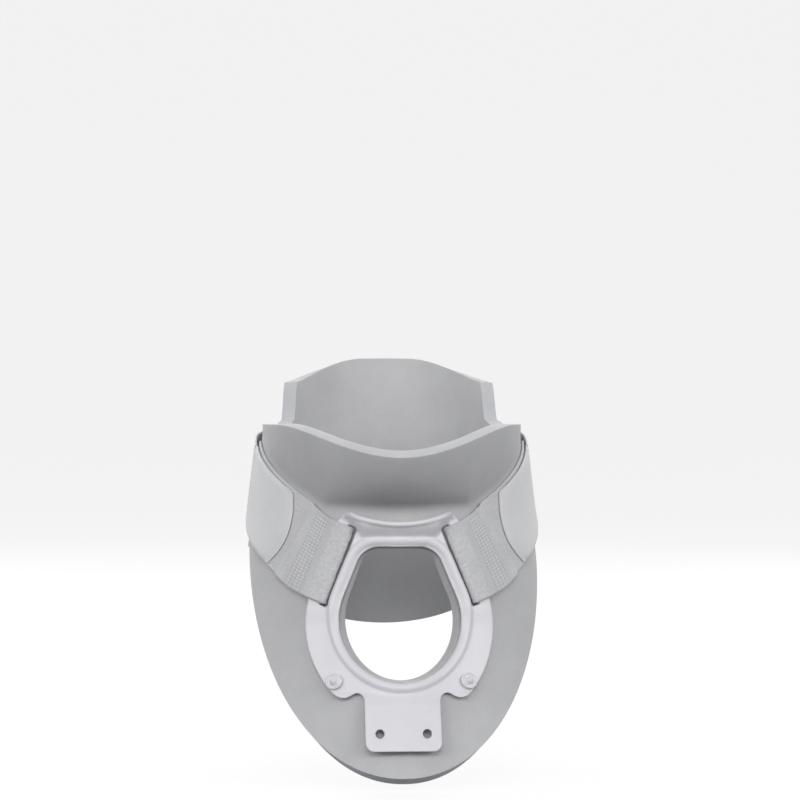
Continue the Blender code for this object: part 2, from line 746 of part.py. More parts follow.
def make_front_plate(material):
    item = add_object("front_plate", surface("front_plate", 24, 30, front_plate_point), PARTS, material)
    thicken(item, PLATE, 1.0)
    slots = [slot_outline(SLOT_CENTRE, SLOT_LEAN, side) for side in (1.0, -1.0)]
    holes = [arc((side * TAB_HOLE[0], TAB_HOLE[1]), TAB_HOLE_RADIUS, 0.0, 337.5, 15) for side in (1.0, -1.0)]
    outlines = [front_plate_outline(), window_outline()] + slots + holes
    cut(item, prism("front_plate_shape", outlines, *FRONT_CUT), "INTERSECT")
    cut(item, ring_tube("front_plate_bead", bead_points(), BEAD_RADIUS), "UNION")
    for side in (1.0, -1.0):
        cut(item, rivet_cutter("front_plate_rivet_cutter", front_wall, angle_on_front, FRONT_RIVET, side))
    round_shading(item)
    return item


def rear_plate_point(u, w):
    x, z = on_sheet(REAR_SHEET, u, w)
    point = lifted(rear_wall, angle_on_rear(abs(x), z), z, BAR_LIFT)
    return Vector((-math.copysign(point.x, x), point.y, point.z))


def make_rear_plate(material):
    item = add_object("rear_plate", surface("rear_plate", 16, 16, rear_plate_point), PARTS, material)
    thicken(item, PLATE, 1.0)
    slots = [slot_outline((REAR_SLOT_X, REAR_STRAP_Z), 0.0, side) for side in (1.0, -1.0)]
    cut(item, prism("rear_plate_shape", [rear_plate_outline()] + slots, *REAR_CUT), "INTERSECT")
    for place in REAR_RIVETS:
        for side in (1.0, -1.0):
            cut(item, rivet_cutter("rear_plate_rivet_cutter", rear_wall, angle_on_rear, place, side))
    round_shading(item)
    return item


# ---------------------------------------------------------------- rivets

def rivet_cutter(name, wall, angle_at, place, side):
    """A pin through the foam and the plate, as wide as the rivet's hole."""
    bm = bmesh.new()
    bmesh.ops.create_cone(bm, cap_ends=True, segments=16, radius1=RIVET_HOLE * MM, radius2=RIVET_HOLE * MM,
                          depth=PIN_LENGTH * MM)
    mesh = bpy.data.meshes.new(name)
    bm.to_mesh(mesh)
    bm.free()
    item = add_object(name, mesh, CUTTERS)
    item.matrix_world = seat(wall, angle_at(*place), place[1], 0.0, side)
    item.hide_render = True
    item.display_type = "WIRE"
    return item


def rivet_profile(under_head, grip):
    """Domed head with a flange, a shank through the wall, and the clenched end behind the washer."""
    flange_top = under_head + FLANGE_THICKNESS
    dome_top = flange_top + DOME_HEIGHT
    end = under_head - grip
    clench_radius, clench_inner, clench_height = CLENCH
    return [(0.0, dome_top), (RIVET_DOME * 0.6, dome_top - 0.25 * DOME_HEIGHT), (RIVET_DOME, flange_top),
            (RIVET_FLANGE - FLANGE_BEVEL, flange_top), (RIVET_FLANGE, flange_top - FLANGE_BEVEL),
            (RIVET_FLANGE, under_head), (RIVET_SHANK, under_head), (RIVET_SHANK, end),
            (clench_radius, end), (clench_inner, end - 0.75 * clench_height), (0.0, end - clench_height)]


def washer_profile(face):
    """A flat ring whose outer face touches the foam's inner side."""
    low = face - WASHER_THICKNESS
    return [(RIVET_HOLE, face), (WASHER_RADIUS, face), (WASHER_RADIUS, low), (RIVET_HOLE, low)]


def make_rivet_pair(prefix, suffix, wall, place, angle_at, lift, side, materials):
    """One rivet and its washer, seated on the wall's normal."""
    under_head = lift + PLATE + FLANGE_SEAT
    washer_face = -FOAM - FLANGE_SEAT
    grip = under_head - (washer_face - WASHER_THICKNESS - GAP)
    frame = seat(wall, angle_at(*place), place[1], 0.0, side)
    pieces = []
    for kind, profile, material in (("rivet", rivet_profile(under_head, grip), materials["rivet"]),
                                    ("rivet_washer", washer_profile(washer_face), materials["washer"])):
        name = f"{prefix}_{kind}_{suffix}"
        item = add_object(name, turned(name, profile), PARTS, material)
        item.matrix_world = frame
        turn(item)
        round_shading(item)
        pieces.append(item)
    return pieces


# ---------------------------------------------------------------- straps

def make_front_loop_strap(side, material):
    """The loop strap: folded round the slot's bar, and lying on the foam up to its tail on the wing."""
    stations = fold_stations(LOOP_THICKNESS, FRONT_RETURN)
    behind = GAP + LOOP_THICKNESS / 2.0
    tail = (WING_END - front_bar_angle() - TAIL_MARGIN) / STRAP_PITCH
    start = FRONT_RETURN + STEP_DOWN
    steps = 15
    stations += [(start + (tail - start) * (step + 1) / steps, behind) for step in range(steps)]

    def place(u, w):
        distance, height = between(stations, u)
        angle, z = front_course(distance, (w - 0.5) * LOOP_WIDTH, height)
        return lifted(front_wall, angle, z, height)

    name = "front_loop_strap_" + ("right" if side > 0 else "left")
    mesh = surface(name, len(stations) - 1, 8, place, mirrored=side < 0)
    item = add_object(name, mesh, PARTS, material)
    thicken(item, LOOP_THICKNESS, 0.0)
    round_shading(item)
    return item


def strap_height():
    """The strap tab's middle above the foam: over the loop strap and the hook patch."""
    return 3.0 * GAP + LOOP_THICKNESS + HOOK_THICKNESS + STRAP_THICKNESS / 2.0


def hinge_height(angle, z):
    """The same middle, measured from the rear half's wall beside the hinge line."""
    target = lifted(front_wall, angle, z, strap_height())
    start = rear_wall(angle, z)
    return (target - start).dot(outward(rear_wall, angle, z))


def make_rear_strap(side, material):
    """From the fold in the rear slot to the line where the strap bends open."""
    stations = fold_stations(STRAP_THICKNESS, REAR_RETURN)
    behind = GAP + STRAP_THICKNESS / 2.0
    start = REAR_RETURN + STEP_DOWN
    end = (rear_bar_angle() - HINGE_ANGLE) / REAR_PITCH - GAP
    steps = 8
    stations += [(start + (end - start) * (step + 1) / steps, behind) for step in range(steps)]

    def place(u, w):
        distance, height = between(stations, 1.0 - u)
        angle, z = rear_course(distance, (w - 0.5) * STRAP_WIDTH, height)
        leave = 1.0 - smooth(end - distance, 0.0, HINGE_EASE)
        if leave > 0.0:
            height += (hinge_height(angle, z) - height) * leave
        return lifted(rear_wall, angle, z, height)

    name = "rear_strap_" + ("right" if side > 0 else "left")
    mesh = surface(name, len(stations) - 1, 6, place, mirrored=side < 0)
    item = add_object(name, mesh, PARTS, material)
    thicken(item, STRAP_THICKNESS, 0.0)
    round_shading(item)
    return item


def tab_front_edge(w):
    """The tab's front edge in mm along the strap. It bulges forward and its lower corner is cut back."""
    down = 1.0 - w
    bulge, cut_back = TAB_CUT_BACK
    return -down * (bulge - cut_back * down)


def tab_point(distance, w, height, width=STRAP_WIDTH):
    """A point on the tab. Distance is along the strap, back from the upper front corner."""
    angle, z = across_strap(TAB_FRONT_ANGLE + distance * STRAP_PITCH, (w - 0.5) * width)
    return lifted(front_wall, angle, z, height)


def hinge_distance():
    return (HINGE_ANGLE - TAB_FRONT_ANGLE) / STRAP_PITCH


def make_strap_tab(side, material):
    def place(u, w):
        distance = TIP_LENGTH + GAP + (hinge_distance() - TIP_LENGTH - 2.0 * GAP) * u
        return tab_point(distance, w, strap_height())

    name = "strap_tab_" + ("right" if side > 0 else "left")
    mesh = surface(name, 16, 6, place, mirrored=side < 0)
    item = add_object(name, mesh, PARTS, material)
    thicken(item, STRAP_THICKNESS, 0.0)
    round_shading(item)
    return item


def make_strap_tip(side, material):
    def place(u, w):
        front = tab_front_edge(w)
        return tab_point(front + (TIP_LENGTH - front) * u, w, strap_height())

    name = "strap_tip_" + ("right" if side > 0 else "left")
    mesh = surface(name, 5, 8, place, mirrored=side < 0)
    item = add_object(name, mesh, PARTS, material)
    thicken(item, STRAP_THICKNESS, 0.0)
    round_shading(item)
    return item


def make_hook_patch(side, material):
    """Hook tape sewn on the tab's inner face. It grips the loop strap."""
    first = TIP_LENGTH + HOOK_MARGINS[0]
    last = (90.0 - TAB_FRONT_ANGLE) / STRAP_PITCH - HOOK_MARGINS[1]
    height = 2.0 * GAP + LOOP_THICKNESS + HOOK_THICKNESS / 2.0

    def place(u, w):
        return tab_point(first + (last - first) * u, w, height, STRAP_WIDTH - 5.0)

    name = "hook_patch_" + ("right" if side > 0 else "left")
    mesh = surface(name, 12, 6, place, mirrored=side < 0)
    item = add_object(name, mesh, PARTS, material)
    thicken(item, HOOK_THICKNESS, 0.0)
    round_shading(item)
    return item


# ---------------------------------------------------------------- assembly

def hinge_line(distance, side):
    """Two points on the strap's outer face, on the line across it at this distance."""
    outer = strap_height() + STRAP_THICKNESS / 2.0
    low = tab_point(distance, 0.0, outer)
    high = tab_point(distance, 1.0, outer)
    low.x *= side
    high.x *= side
    return low, high


def pivot_empty(name, place, parent=None):
    made = bpy.data.objects.new(name, None)
    made.empty_display_size = 0.02
    PARTS.objects.link(made)
    made.location = place * MM
    if parent:
        made.parent = parent
        made.location = (place - PIVOTS[parent.name]) * MM
    PIVOTS[name] = place
    return made


def hang(item, pivot):
    """Parents the piece to its pivot and leaves it where it is."""
    shift = PIVOTS[pivot.name] * MM
    item.matrix_world = Matrix.Translation(-shift) @ item.matrix_world
    item.parent = pivot


def build():
    foam = plain_material("foam", (0.52, 0.52, 0.53), 0.82)
    plastic = plain_material("support_plastic", (0.745, 0.735, 0.77), 0.36)
    loop = plain_material("loop_webbing", (0.64, 0.64, 0.655), 0.95)
    webbing = plain_material("strap_webbing", (0.71, 0.71, 0.715), 0.62)
    hook = plain_material("hook_tape", (0.55, 0.55, 0.56), 0.5)
    rivet_kit = {"rivet": plain_material("rivet_plastic", (0.84, 0.84, 0.86), 0.16),
                 "washer": plain_material("washer_plastic", (0.72, 0.72, 0.74), 0.34)}

    front_half = pivot_empty("front_half_pivot", Vector((0.0, 0.0, 0.0)))
    rear_half = pivot_empty("rear_half_pivot", Vector((0.0, 0.0, 0.0)))
    hang(make_front_foam(foam), front_half)
    hang(make_front_plate(plastic), front_half)
    hang(make_rear_foam(foam), rear_half)
    hang(make_rear_plate(plastic), rear_half)

    for side, suffix in ((1.0, "right"), (-1.0, "left")):
        for item in make_rivet_pair("front", suffix, front_wall, FRONT_RIVET, angle_on_front,
                                    PLATE_REST, side, rivet_kit):
            hang(item, front_half)
        for place, level in zip(REAR_RIVETS, ("lower", "upper")):
            for item in make_rivet_pair("rear", f"{level}_{suffix}", rear_wall, place, angle_on_rear,
                                        BAR_LIFT, side, rivet_kit):
                hang(item, rear_half)
        hang(make_front_loop_strap(side, loop), front_half)
        hang(make_rear_strap(side, webbing), rear_half)

        low, high = hinge_line(hinge_distance(), side)
        tab_pivot = pivot_empty("strap_pivot_" + suffix, (low + high) / 2.0, rear_half)
        low, high = hinge_line(TIP_LENGTH, side)
        tip_pivot = pivot_empty("tip_pivot_" + suffix, (low + high) / 2.0, tab_pivot)
        hang(make_strap_tab(side, webbing), tab_pivot)
        hang(make_hook_patch(side, hook), tab_pivot)
        hang(make_strap_tip(side, webbing), tip_pivot)


clear_scene()
PARTS = new_collection("cervical_collar")
CUTTERS = new_collection("cutters")
PIVOTS = {}
build()
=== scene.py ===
"""Looks of the two-piece cervical collar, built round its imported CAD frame.

The collar's walls are repeated here at a fine pitch, in the same frame: +Z up, the wearer faces -Y,
symmetric about X = 0. Sizes are in millimetres and degrees, and turn into metres when a mesh is made.
Angles go round the neck from the front: 0 is the front, 90 the side and 180 the back.
"""
import math

import bmesh
import bpy
import numpy as np
from mathutils import Matrix, Vector, noise


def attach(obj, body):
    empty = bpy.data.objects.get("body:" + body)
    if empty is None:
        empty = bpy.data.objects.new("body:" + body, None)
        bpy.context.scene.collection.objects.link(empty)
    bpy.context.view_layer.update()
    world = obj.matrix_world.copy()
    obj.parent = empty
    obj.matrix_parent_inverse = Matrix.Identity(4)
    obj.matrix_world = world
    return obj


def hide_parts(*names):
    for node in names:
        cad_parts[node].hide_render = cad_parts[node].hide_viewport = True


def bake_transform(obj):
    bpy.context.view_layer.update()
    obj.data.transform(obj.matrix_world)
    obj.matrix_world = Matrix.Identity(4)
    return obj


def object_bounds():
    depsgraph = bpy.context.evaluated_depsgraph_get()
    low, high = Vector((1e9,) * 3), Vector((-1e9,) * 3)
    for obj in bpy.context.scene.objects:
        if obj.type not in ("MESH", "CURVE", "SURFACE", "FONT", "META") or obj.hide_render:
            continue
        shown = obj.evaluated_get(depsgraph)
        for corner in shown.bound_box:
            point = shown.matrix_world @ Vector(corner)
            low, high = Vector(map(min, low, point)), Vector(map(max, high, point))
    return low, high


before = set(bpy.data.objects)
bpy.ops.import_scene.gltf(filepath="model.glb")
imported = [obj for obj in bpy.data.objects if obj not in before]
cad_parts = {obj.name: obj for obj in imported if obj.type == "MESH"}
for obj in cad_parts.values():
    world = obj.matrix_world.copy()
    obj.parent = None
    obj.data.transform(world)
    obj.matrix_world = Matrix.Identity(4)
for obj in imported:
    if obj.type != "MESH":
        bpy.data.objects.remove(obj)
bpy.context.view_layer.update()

MM = 0.001
GAP = 0.3

# Foam shells
FOAM = 8.5
WAIST_Z = 28.0
FLAP_TIP_Z = -122.0
WAIST_HALF_WIDTH = 85.0
WAIST_DEPTH = 73.0
WAIST_TAPER = 17.5
FLAP_SPREAD = (21.0, 19.0)
FLAP_SLOPE = (31.35, 25.65)
CURVE_GROWTH = 22.0
FLAP_HALF_WIDTH = 88.0
FLAP_FULLNESS = 2.1
FLAP_TOP_Z = 4.0
WING_END = 96.0
STRAIGHT = 1.45
RIM_DEPTH = 107.0
RIM_FRONT_Z = 60.5
RIM_SIDE_Z = 79.0
RIM_LEVEL_ANGLE = 62.0
CREASE_Z = 31.0
CREASE_CLEARANCE = 30.0      # from the strap's centre line up to the crease
SHELF_MARGIN = 3.0           # the crease stays at least this far below the rim
CREASE_RADIUS = (5.5, 4.0)   # how far the crease is rounded, at the front and by the straps
CREASE_EASE = (14.0, 34.0)   # the radius changes from the first to the second between these angles
SHELF_CUP = 0.13             # the shelf bulges forward and down by this share of its overhang
FOAM_EDGE = 1.0              # rounding of the foam's cut edges
FLAP_SHARE = 16.0 / 18.0     # of the half width, the rest being wing
WALL_SHARE = 0.75            # of the rows, the rest being the chin shelf
REAR_START = 66.0
REAR_DEPTH = 70.0
REAR_CLEARANCE = 0.5
HEAD_LEAN = (45.0, 18.0, 1.6)
REAR_FLARE = (30.0, 22.0, 1.5)
ARM_LOW_Z = 8.0
ARM_END_LIFT = 6.0
ARM_HIGH_Z = 74.0
REAR_DROP = 56.0
SHOULDER_Z = 81.0
HEAD_PANEL_SIDE_Z = 105.0
HEAD_PANEL_TOP_Z = 118.0
SHOULDER_ANGLES = (80.0, 106.0)      # the top edge rises from the arm to the shoulder between these
PANEL_STEP_ANGLES = (106.0, 112.0)   # and steps up to the panel behind the head
CROWN_ANGLES = (108.0, 165.0)        # whose top is arched

# Plastic supports
PLATE = 2.2
PLATE_REST = 0.4
BAR_LIFT = 2.3
BAR_WIDTH = 6.8
FOLD_GAP = 0.45
SLOT_WIDTH = 5.5
SLOT_LENGTH = 49.8
SLOT_LEAN = 21.3
SLOT_CORNER = 1.5
SLOT_CENTRE = (36.05, -3.65)
WINDOW_CENTRE_Z = -35.0
WINDOW_RADIUS = 36.0
WINDOW_SIDE_LEAN = 22.5
WINDOW_TOP_Z = 7.6
WINDOW_CORNER = 14.0
FOAM_WINDOW_INSET = 1.5      # the foam's window is this much smaller all round than the plate's
BEAD_RADIUS = 3.3            # of the bead's rounded top
BEAD_SINK = 1.3              # its centre lies this far below the plate's face
BEAD_OVERHANG = 0.5          # and the bead reaches this far over the window's edge
LOBE_CENTRE_Z = -38.0
LOBE_RADIUS = 55.5
LOBE_START_ANGLE = 15.0
LOBE_END_ANGLE = -42.0       # the lobe's big arc runs into a small one here
LOBE_END_RADIUS = 9.4
NOTCH_CENTRE = (26.0, -79.6)     # between the lobe and the tab
NOTCH_RADIUS = 3.9
NOTCH_ANGLE = 72.0           # the notch's arc starts here, and the lobe's ends opposite
TAB_HALF_WIDTH = 22.1
TAB_BOTTOM_Z = -107.0
TAB_TOP_Z = -76.0
TAB_FLAT_Z = -84.0
TAB_CORNER = 5.0
TAB_HOLE = (13.6, -97.5)
TAB_HOLE_RADIUS = 2.5
TAB_STAND_OFF = 3.2
TOP_EDGE = (22.5, 5.6)
TOP_CORNER = (29.5, 25.0)
TOP_CORNER_RADIUS = 3.0
TOP_CORNER_ANGLES = (110.0, 45.0)
BAR_ENDS = (23.7, -20.0)     # the bar's outer edge is straight between these heights along the slot
TOP_ROLL = 1.6               # radius of the roll along the top edge
ROLL_PROUD = 0.7             # its middle is this far outside the sheet's
ROLL_CORNER_GAP = 0.8        # its straight part ends this far from the corner's centre
ROLL_CORNER_ANGLE = 95.0     # where its bend round the corner starts
CORNER_SIDE_ANGLE = 43.0     # the way that the slanted side below the corner faces
ROLL_SIDE = 3.0              # how far the roll goes down that side
TOP_LIP = 8.0
LIP_START_Z = 10.0
LIP_END_Z = 20.5
LIP_HALF_WIDTH = 19.0
LIP_EASE = 1.2
BAR_RAMP_Z = (-42.0, -27.0)
FRONT_SHEET = (-62.0, 62.0, -112.0, 33.0)   # what the front support is cut from, in x and z
REAR_SHEET = (-50.0, 50.0, -20.0, 105.0)
FRONT_CUT = (-150.0, -40.0)  # cutters reach from the first y to the second
REAR_CUT = (40.0, 120.0)
REAR_SLOT_X = 36.0
REAR_STAY_HALF_WIDTH = 23.0
REAR_STAY_BOTTOM_Z = -14.0
REAR_STAY_TOP_Z = 99.0
REAR_STAY_CORNER = 10.0
REAR_WING_BELOW_SLOT = 6.0
REAR_WING_CORNERS = (12.0, 8.0, 7.0)     # at the top, at the lower tip, and where it meets the stay
RIVETS = {"front": {"": (38.4, -70.7)}, "rear": {"lower_": (14.0, 8.0), "upper_": (14.0, 36.0)}}
RIVET_HOLE = 2.4
RIVET_SHANK = 2.0
FLANGE_THICKNESS = 1.1
FLANGE_SEAT = 0.7            # air under the middle of a flat flange on a curved wall
DOME_HEIGHT = 1.7
WASHER_THICKNESS = 1.2
CLENCH_DEPTH = 1.5           # the clenched end starts this far behind the washer's face
PIN_LENGTH = 40.0            # long enough to cut through foam and plate
VOXEL = 0.6                  # the supports are remeshed this finely, which moulds their edges round

# Straps
LOOP_WIDTH = 48.0
LOOP_THICKNESS = 1.5
STRAP_WIDTH = 45.0
STRAP_THICKNESS = 1.2
HOOK_THICKNESS = 0.6
# Of the hook tape's and the tab's middle above the foam: over the loop strap
HOOK_HEIGHT = 2.0 * GAP + LOOP_THICKNESS + HOOK_THICKNESS / 2.0
TAB_HEIGHT = 3.0 * GAP + LOOP_THICKNESS + HOOK_THICKNESS + STRAP_THICKNESS / 2.0
FRONT_RETURN = 25.5
REAR_RETURN = 20.0
STEP_DOWN = 5.0
BAR_STEP = 3.6               # from the bar's edge the strap comes down in this length
STRAP_START_Z = -3.0
STRAP_RISE = 0.80
STRAP_EASE = 0.0010
REAR_STRAP_Z = 68.0
REAR_STRAP_ANGLE = 152.0
FRONT_EASE = (6.0, 32.0)     # between these distances from the bar, the rows turn to the strap's path
REAR_EASE = (6.0, 28.0)
TAB_FRONT_ANGLE = 54.0
HINGE_ANGLE = 100.0
TIP_LENGTH = 8.0
TIP_SAG = 0.95               # the tab's front edge sags on to the loop strap
EDGE_SAG = 0.5               # and so do its long edges, from and to these distances off the middle line
EDGE_SAG_REACH = (19.5, 22.5)
TAB_EDGE = (40.0, 32.0)      # how the tab's front edge bulges, for tab_front_edge
BEND_REACH = (7.0, 6.0)      # the peel's bend starts and ends this far behind its line and ahead of it
TIP_BEND = (4.0, -5.0)       # where the tip's bend starts and ends, counted back from its line
LEAVE_LENGTH = 22.0          # over this length before the peel line, the strap goes out to the loop strap
STRAP_PITCH = 0.607          # degrees round the neck per mm along the strap
REAR_PITCH = 1.25 * STRAP_PITCH
SEAM_ANGLE = 92.0            # where the front and rear lengths of the closing strap are sewn together
TAIL_MARGIN = 1.5            # the loop strap ends this many degrees before the wing does
PILE = 0.32                  # the loop pile stands this proud
PILE_END = 40.0              # from this distance on it is pressed flat by the tab
THREAD = 0.9                 # width of a thread of the smooth tape
STITCH_ROWS = 4
STITCH_ROW_PITCH = 2.1
STITCH_PITCH = 1.95
STITCH_SIZE = (1.8, 0.3)     # length and radius
STITCH_MARGIN = 2.0          # from the rows' ends to the strap's edges
STITCH_PULL = 0.22           # how deep a stitch's ends pull the pile in
BAND_MARGIN = 1.3            # the pile is pressed this far past the outer rows
BAND_EASE = (2.0, 2.5)       # and comes up again over these lengths, before and after the rows
SEAM_ROWS = (2.0, 5.0)       # distances of the seam's rows from the seam
SEAM_PITCH = 2.6
SEAM_STITCH_SIZE = (2.0, 0.24)
STITCH_START = 13.2          # first row's distance from the front slot bar
REAR_STITCH_START = 11.6
FOLD_PUFF = 1.4              # the pile stands this much prouder on the fold, where nothing presses it
FOLD_FUZZ = 0.3
THIN_EDGE = (0.6, 2.2)       # the tab thins by the first towards its front edge, over the second
HOOK_MARGINS = (3.0, 4.0)    # between the hook tape and the tip's bending line, and before the wing's line
HOOK_BACK_ANGLE = 90.0
HOOK_INSET = 5.0             # the hook tape is this much narrower than the tab

SMOOTH_UP_TO = 50.0          # edges that turn by more than this stay sharp

SIDES = {"right": 1.0, "left": -1.0}


# ---- the collar's walls, as in the CAD model

def smooth(value, low, high):
    t = min(max((value - low) / (high - low), 0.0), 1.0)
    return t * t * (3.0 - 2.0 * t)


def drop(z):
    """0 at the waist and 1 at the tip of the front flap."""
    return max((WAIST_Z - z) / (WAIST_Z - FLAP_TIP_Z), -0.3)


def half_width(z):
    d = drop(z)
    if d < 0.0:
        return WAIST_HALF_WIDTH + WAIST_TAPER * d
    return WAIST_HALF_WIDTH + FLAP_SPREAD[0] * d + FLAP_SPREAD[1] * d * d


def front_depth(z):
    d = drop(z)
    return WAIST_DEPTH + FLAP_SLOPE[0] * d + FLAP_SLOPE[1] * d * d


def curve_depth(z):
    return WAIST_DEPTH + CURVE_GROWTH * drop(z)


def wing_point(angle, z, depth, centre_y):
    """A point of an ellipse round the neck, which runs straight back past 90 degrees."""
    bend = math.radians(min(angle, 90.0))
    run = max(angle - 90.0, 0.0) * STRAIGHT
    return Vector((half_width(z) * math.sin(bend), centre_y - depth * math.cos(bend) + run, z))


def front_wall(angle, z):
    """Outside of the front half's foam below the chin shelf."""
    depth = curve_depth(z)
    return wing_point(angle, z, depth, depth - front_depth(z))


def rear_depth(z):
    start_z, lean, power = HEAD_LEAN
    above = max(z - start_z, 0.0) / (HEAD_PANEL_TOP_Z - start_z)
    depth = REAR_DEPTH + lean * above ** power
    start_z, flare, power = REAR_FLARE
    below = max(start_z - z, 0.0) / (start_z - ARM_LOW_Z + REAR_DROP)
    return depth + flare * below ** power


def rear_half_width(z):
    return half_width(z) - FOAM - REAR_CLEARANCE


def rear_wall(angle, z):
    """Outside of the rear half's foam."""
    bend = math.radians(angle)
    centre_y = curve_depth(z) - front_depth(z)
    depth = curve_depth(z) - FOAM - REAR_CLEARANCE
    if angle > 90.0:
        depth = rear_depth(z) - centre_y
    return Vector((rear_half_width(z) * math.sin(bend), centre_y - depth * math.cos(bend), z))


def mirrored(point, side):
    point.x *= side
    return point


def outward(wall, angle, z):
    step = 0.05
    along = wall(angle + step, z) - wall(angle - step, z)
    up = wall(angle, z + step) - wall(angle, z - step)
    return along.cross(up).normalized()


def lifted(wall, angle, z, height):
    return wall(angle, z) + outward(wall, angle, z) * height


def rim_point(angle):
    """Outer edge of the chin rim."""
    z = RIM_FRONT_Z + (RIM_SIDE_Z - RIM_FRONT_Z) * smooth(angle, 0.0, RIM_LEVEL_ANGLE)
    return wing_point(angle, z, RIM_DEPTH, 0.0)


def angle_on_front(x, z):
    return math.degrees(math.asin(min(x / half_width(z), 1.0)))


def angle_on_rear(x, z):
    return 180.0 - math.degrees(math.asin(min(x / rear_half_width(z), 1.0)))


WALLS = {"front": (front_wall, angle_on_front), "rear": (rear_wall, angle_on_rear)}


def leaning(centre, lean, across, along):
    """The x and z of a point this far across and along a line that leans from the vertical."""
    turn = math.radians(lean)
    x = centre[0] + across * math.cos(turn) - along * math.sin(turn)
    z = centre[1] + across * math.sin(turn) + along * math.cos(turn)
    return (x, z)


def slot_point(across, along):
    return leaning(SLOT_CENTRE, SLOT_LEAN, across, along)


# Where the inner edges of the front and the rear slot bars are, round the neck
BAR_ANGLE = angle_on_front(*slot_point(SLOT_WIDTH / 2.0, 0.0))
REAR_BAR_ANGLE = angle_on_rear(REAR_SLOT_X + SLOT_WIDTH / 2.0, REAR_STRAP_Z)


def strap_centre_z(angle):
    """Height of the strap's centre line on its way round the neck."""
    past = min(angle, 90.0) - BAR_ANGLE
    height = STRAP_START_Z + STRAP_RISE * past - STRAP_EASE * past * past
    if angle > 90.0:
        slope = STRAP_RISE - 2.0 * STRAP_EASE * (90.0 - BAR_ANGLE)
        span = REAR_STRAP_ANGLE - 90.0
        bend = (slope * span - (REAR_STRAP_Z - height)) / (span * span)
        past = angle - 90.0
        height += slope * past - bend * past * past
    return height


def across_strap(angle, offset):
    """The angle and height of a point this far across the strap from its centre line."""
    z = strap_centre_z(angle)
    bend = math.radians(min(angle, 180.0 - angle))
    wide = half_width(z) * math.cos(bend)
    deep = curve_depth(z) * math.sin(bend)
    per_degree = math.radians(math.hypot(wide, deep))
    slope = math.atan2(strap_centre_z(angle + 0.5) - strap_centre_z(angle - 0.5), per_degree)
    return angle - offset * math.sin(slope) / per_degree, z + offset * math.cos(slope)


def below(half, x, z, height):
    """Where on a half's wall a point stands that is this high above it and has this x and z."""
    wall, angle_at = WALLS[half]
    wall_x, wall_z = x, z
    for _ in range(5):
        normal = outward(wall, angle_at(wall_x, wall_z), wall_z)
        wall_x = x - normal.x * height
        wall_z = z - normal.z * height
    return angle_at(wall_x, wall_z), wall_z


def mixed(first, second, share):
    return tuple(a + (b - a) * share for a, b in zip(first, second))


def front_course(distance, offset, height):
    """Angle and height at a distance from the front bar. By the bar the strap's rows follow the slot."""
    by_path = across_strap(BAR_ANGLE + distance * STRAP_PITCH, offset)
    share = smooth(distance, *FRONT_EASE)
    if share >= 1.0:
        return by_path
    x, z = slot_point(SLOT_WIDTH / 2.0 + distance, offset)
    return mixed(below("front", x, z, height), by_path, share)


def rear_course(distance, offset, height):
    """The same for the rear straps, whose slots are upright."""
    by_path = across_strap(REAR_BAR_ANGLE - distance * REAR_PITCH, offset)
    share = smooth(distance, *REAR_EASE)
    if share >= 1.0:
        return by_path
    x = REAR_SLOT_X + SLOT_WIDTH / 2.0 + distance
    return mixed(below("rear", x, REAR_STRAP_Z + offset, height), by_path, share)


# ---- materials

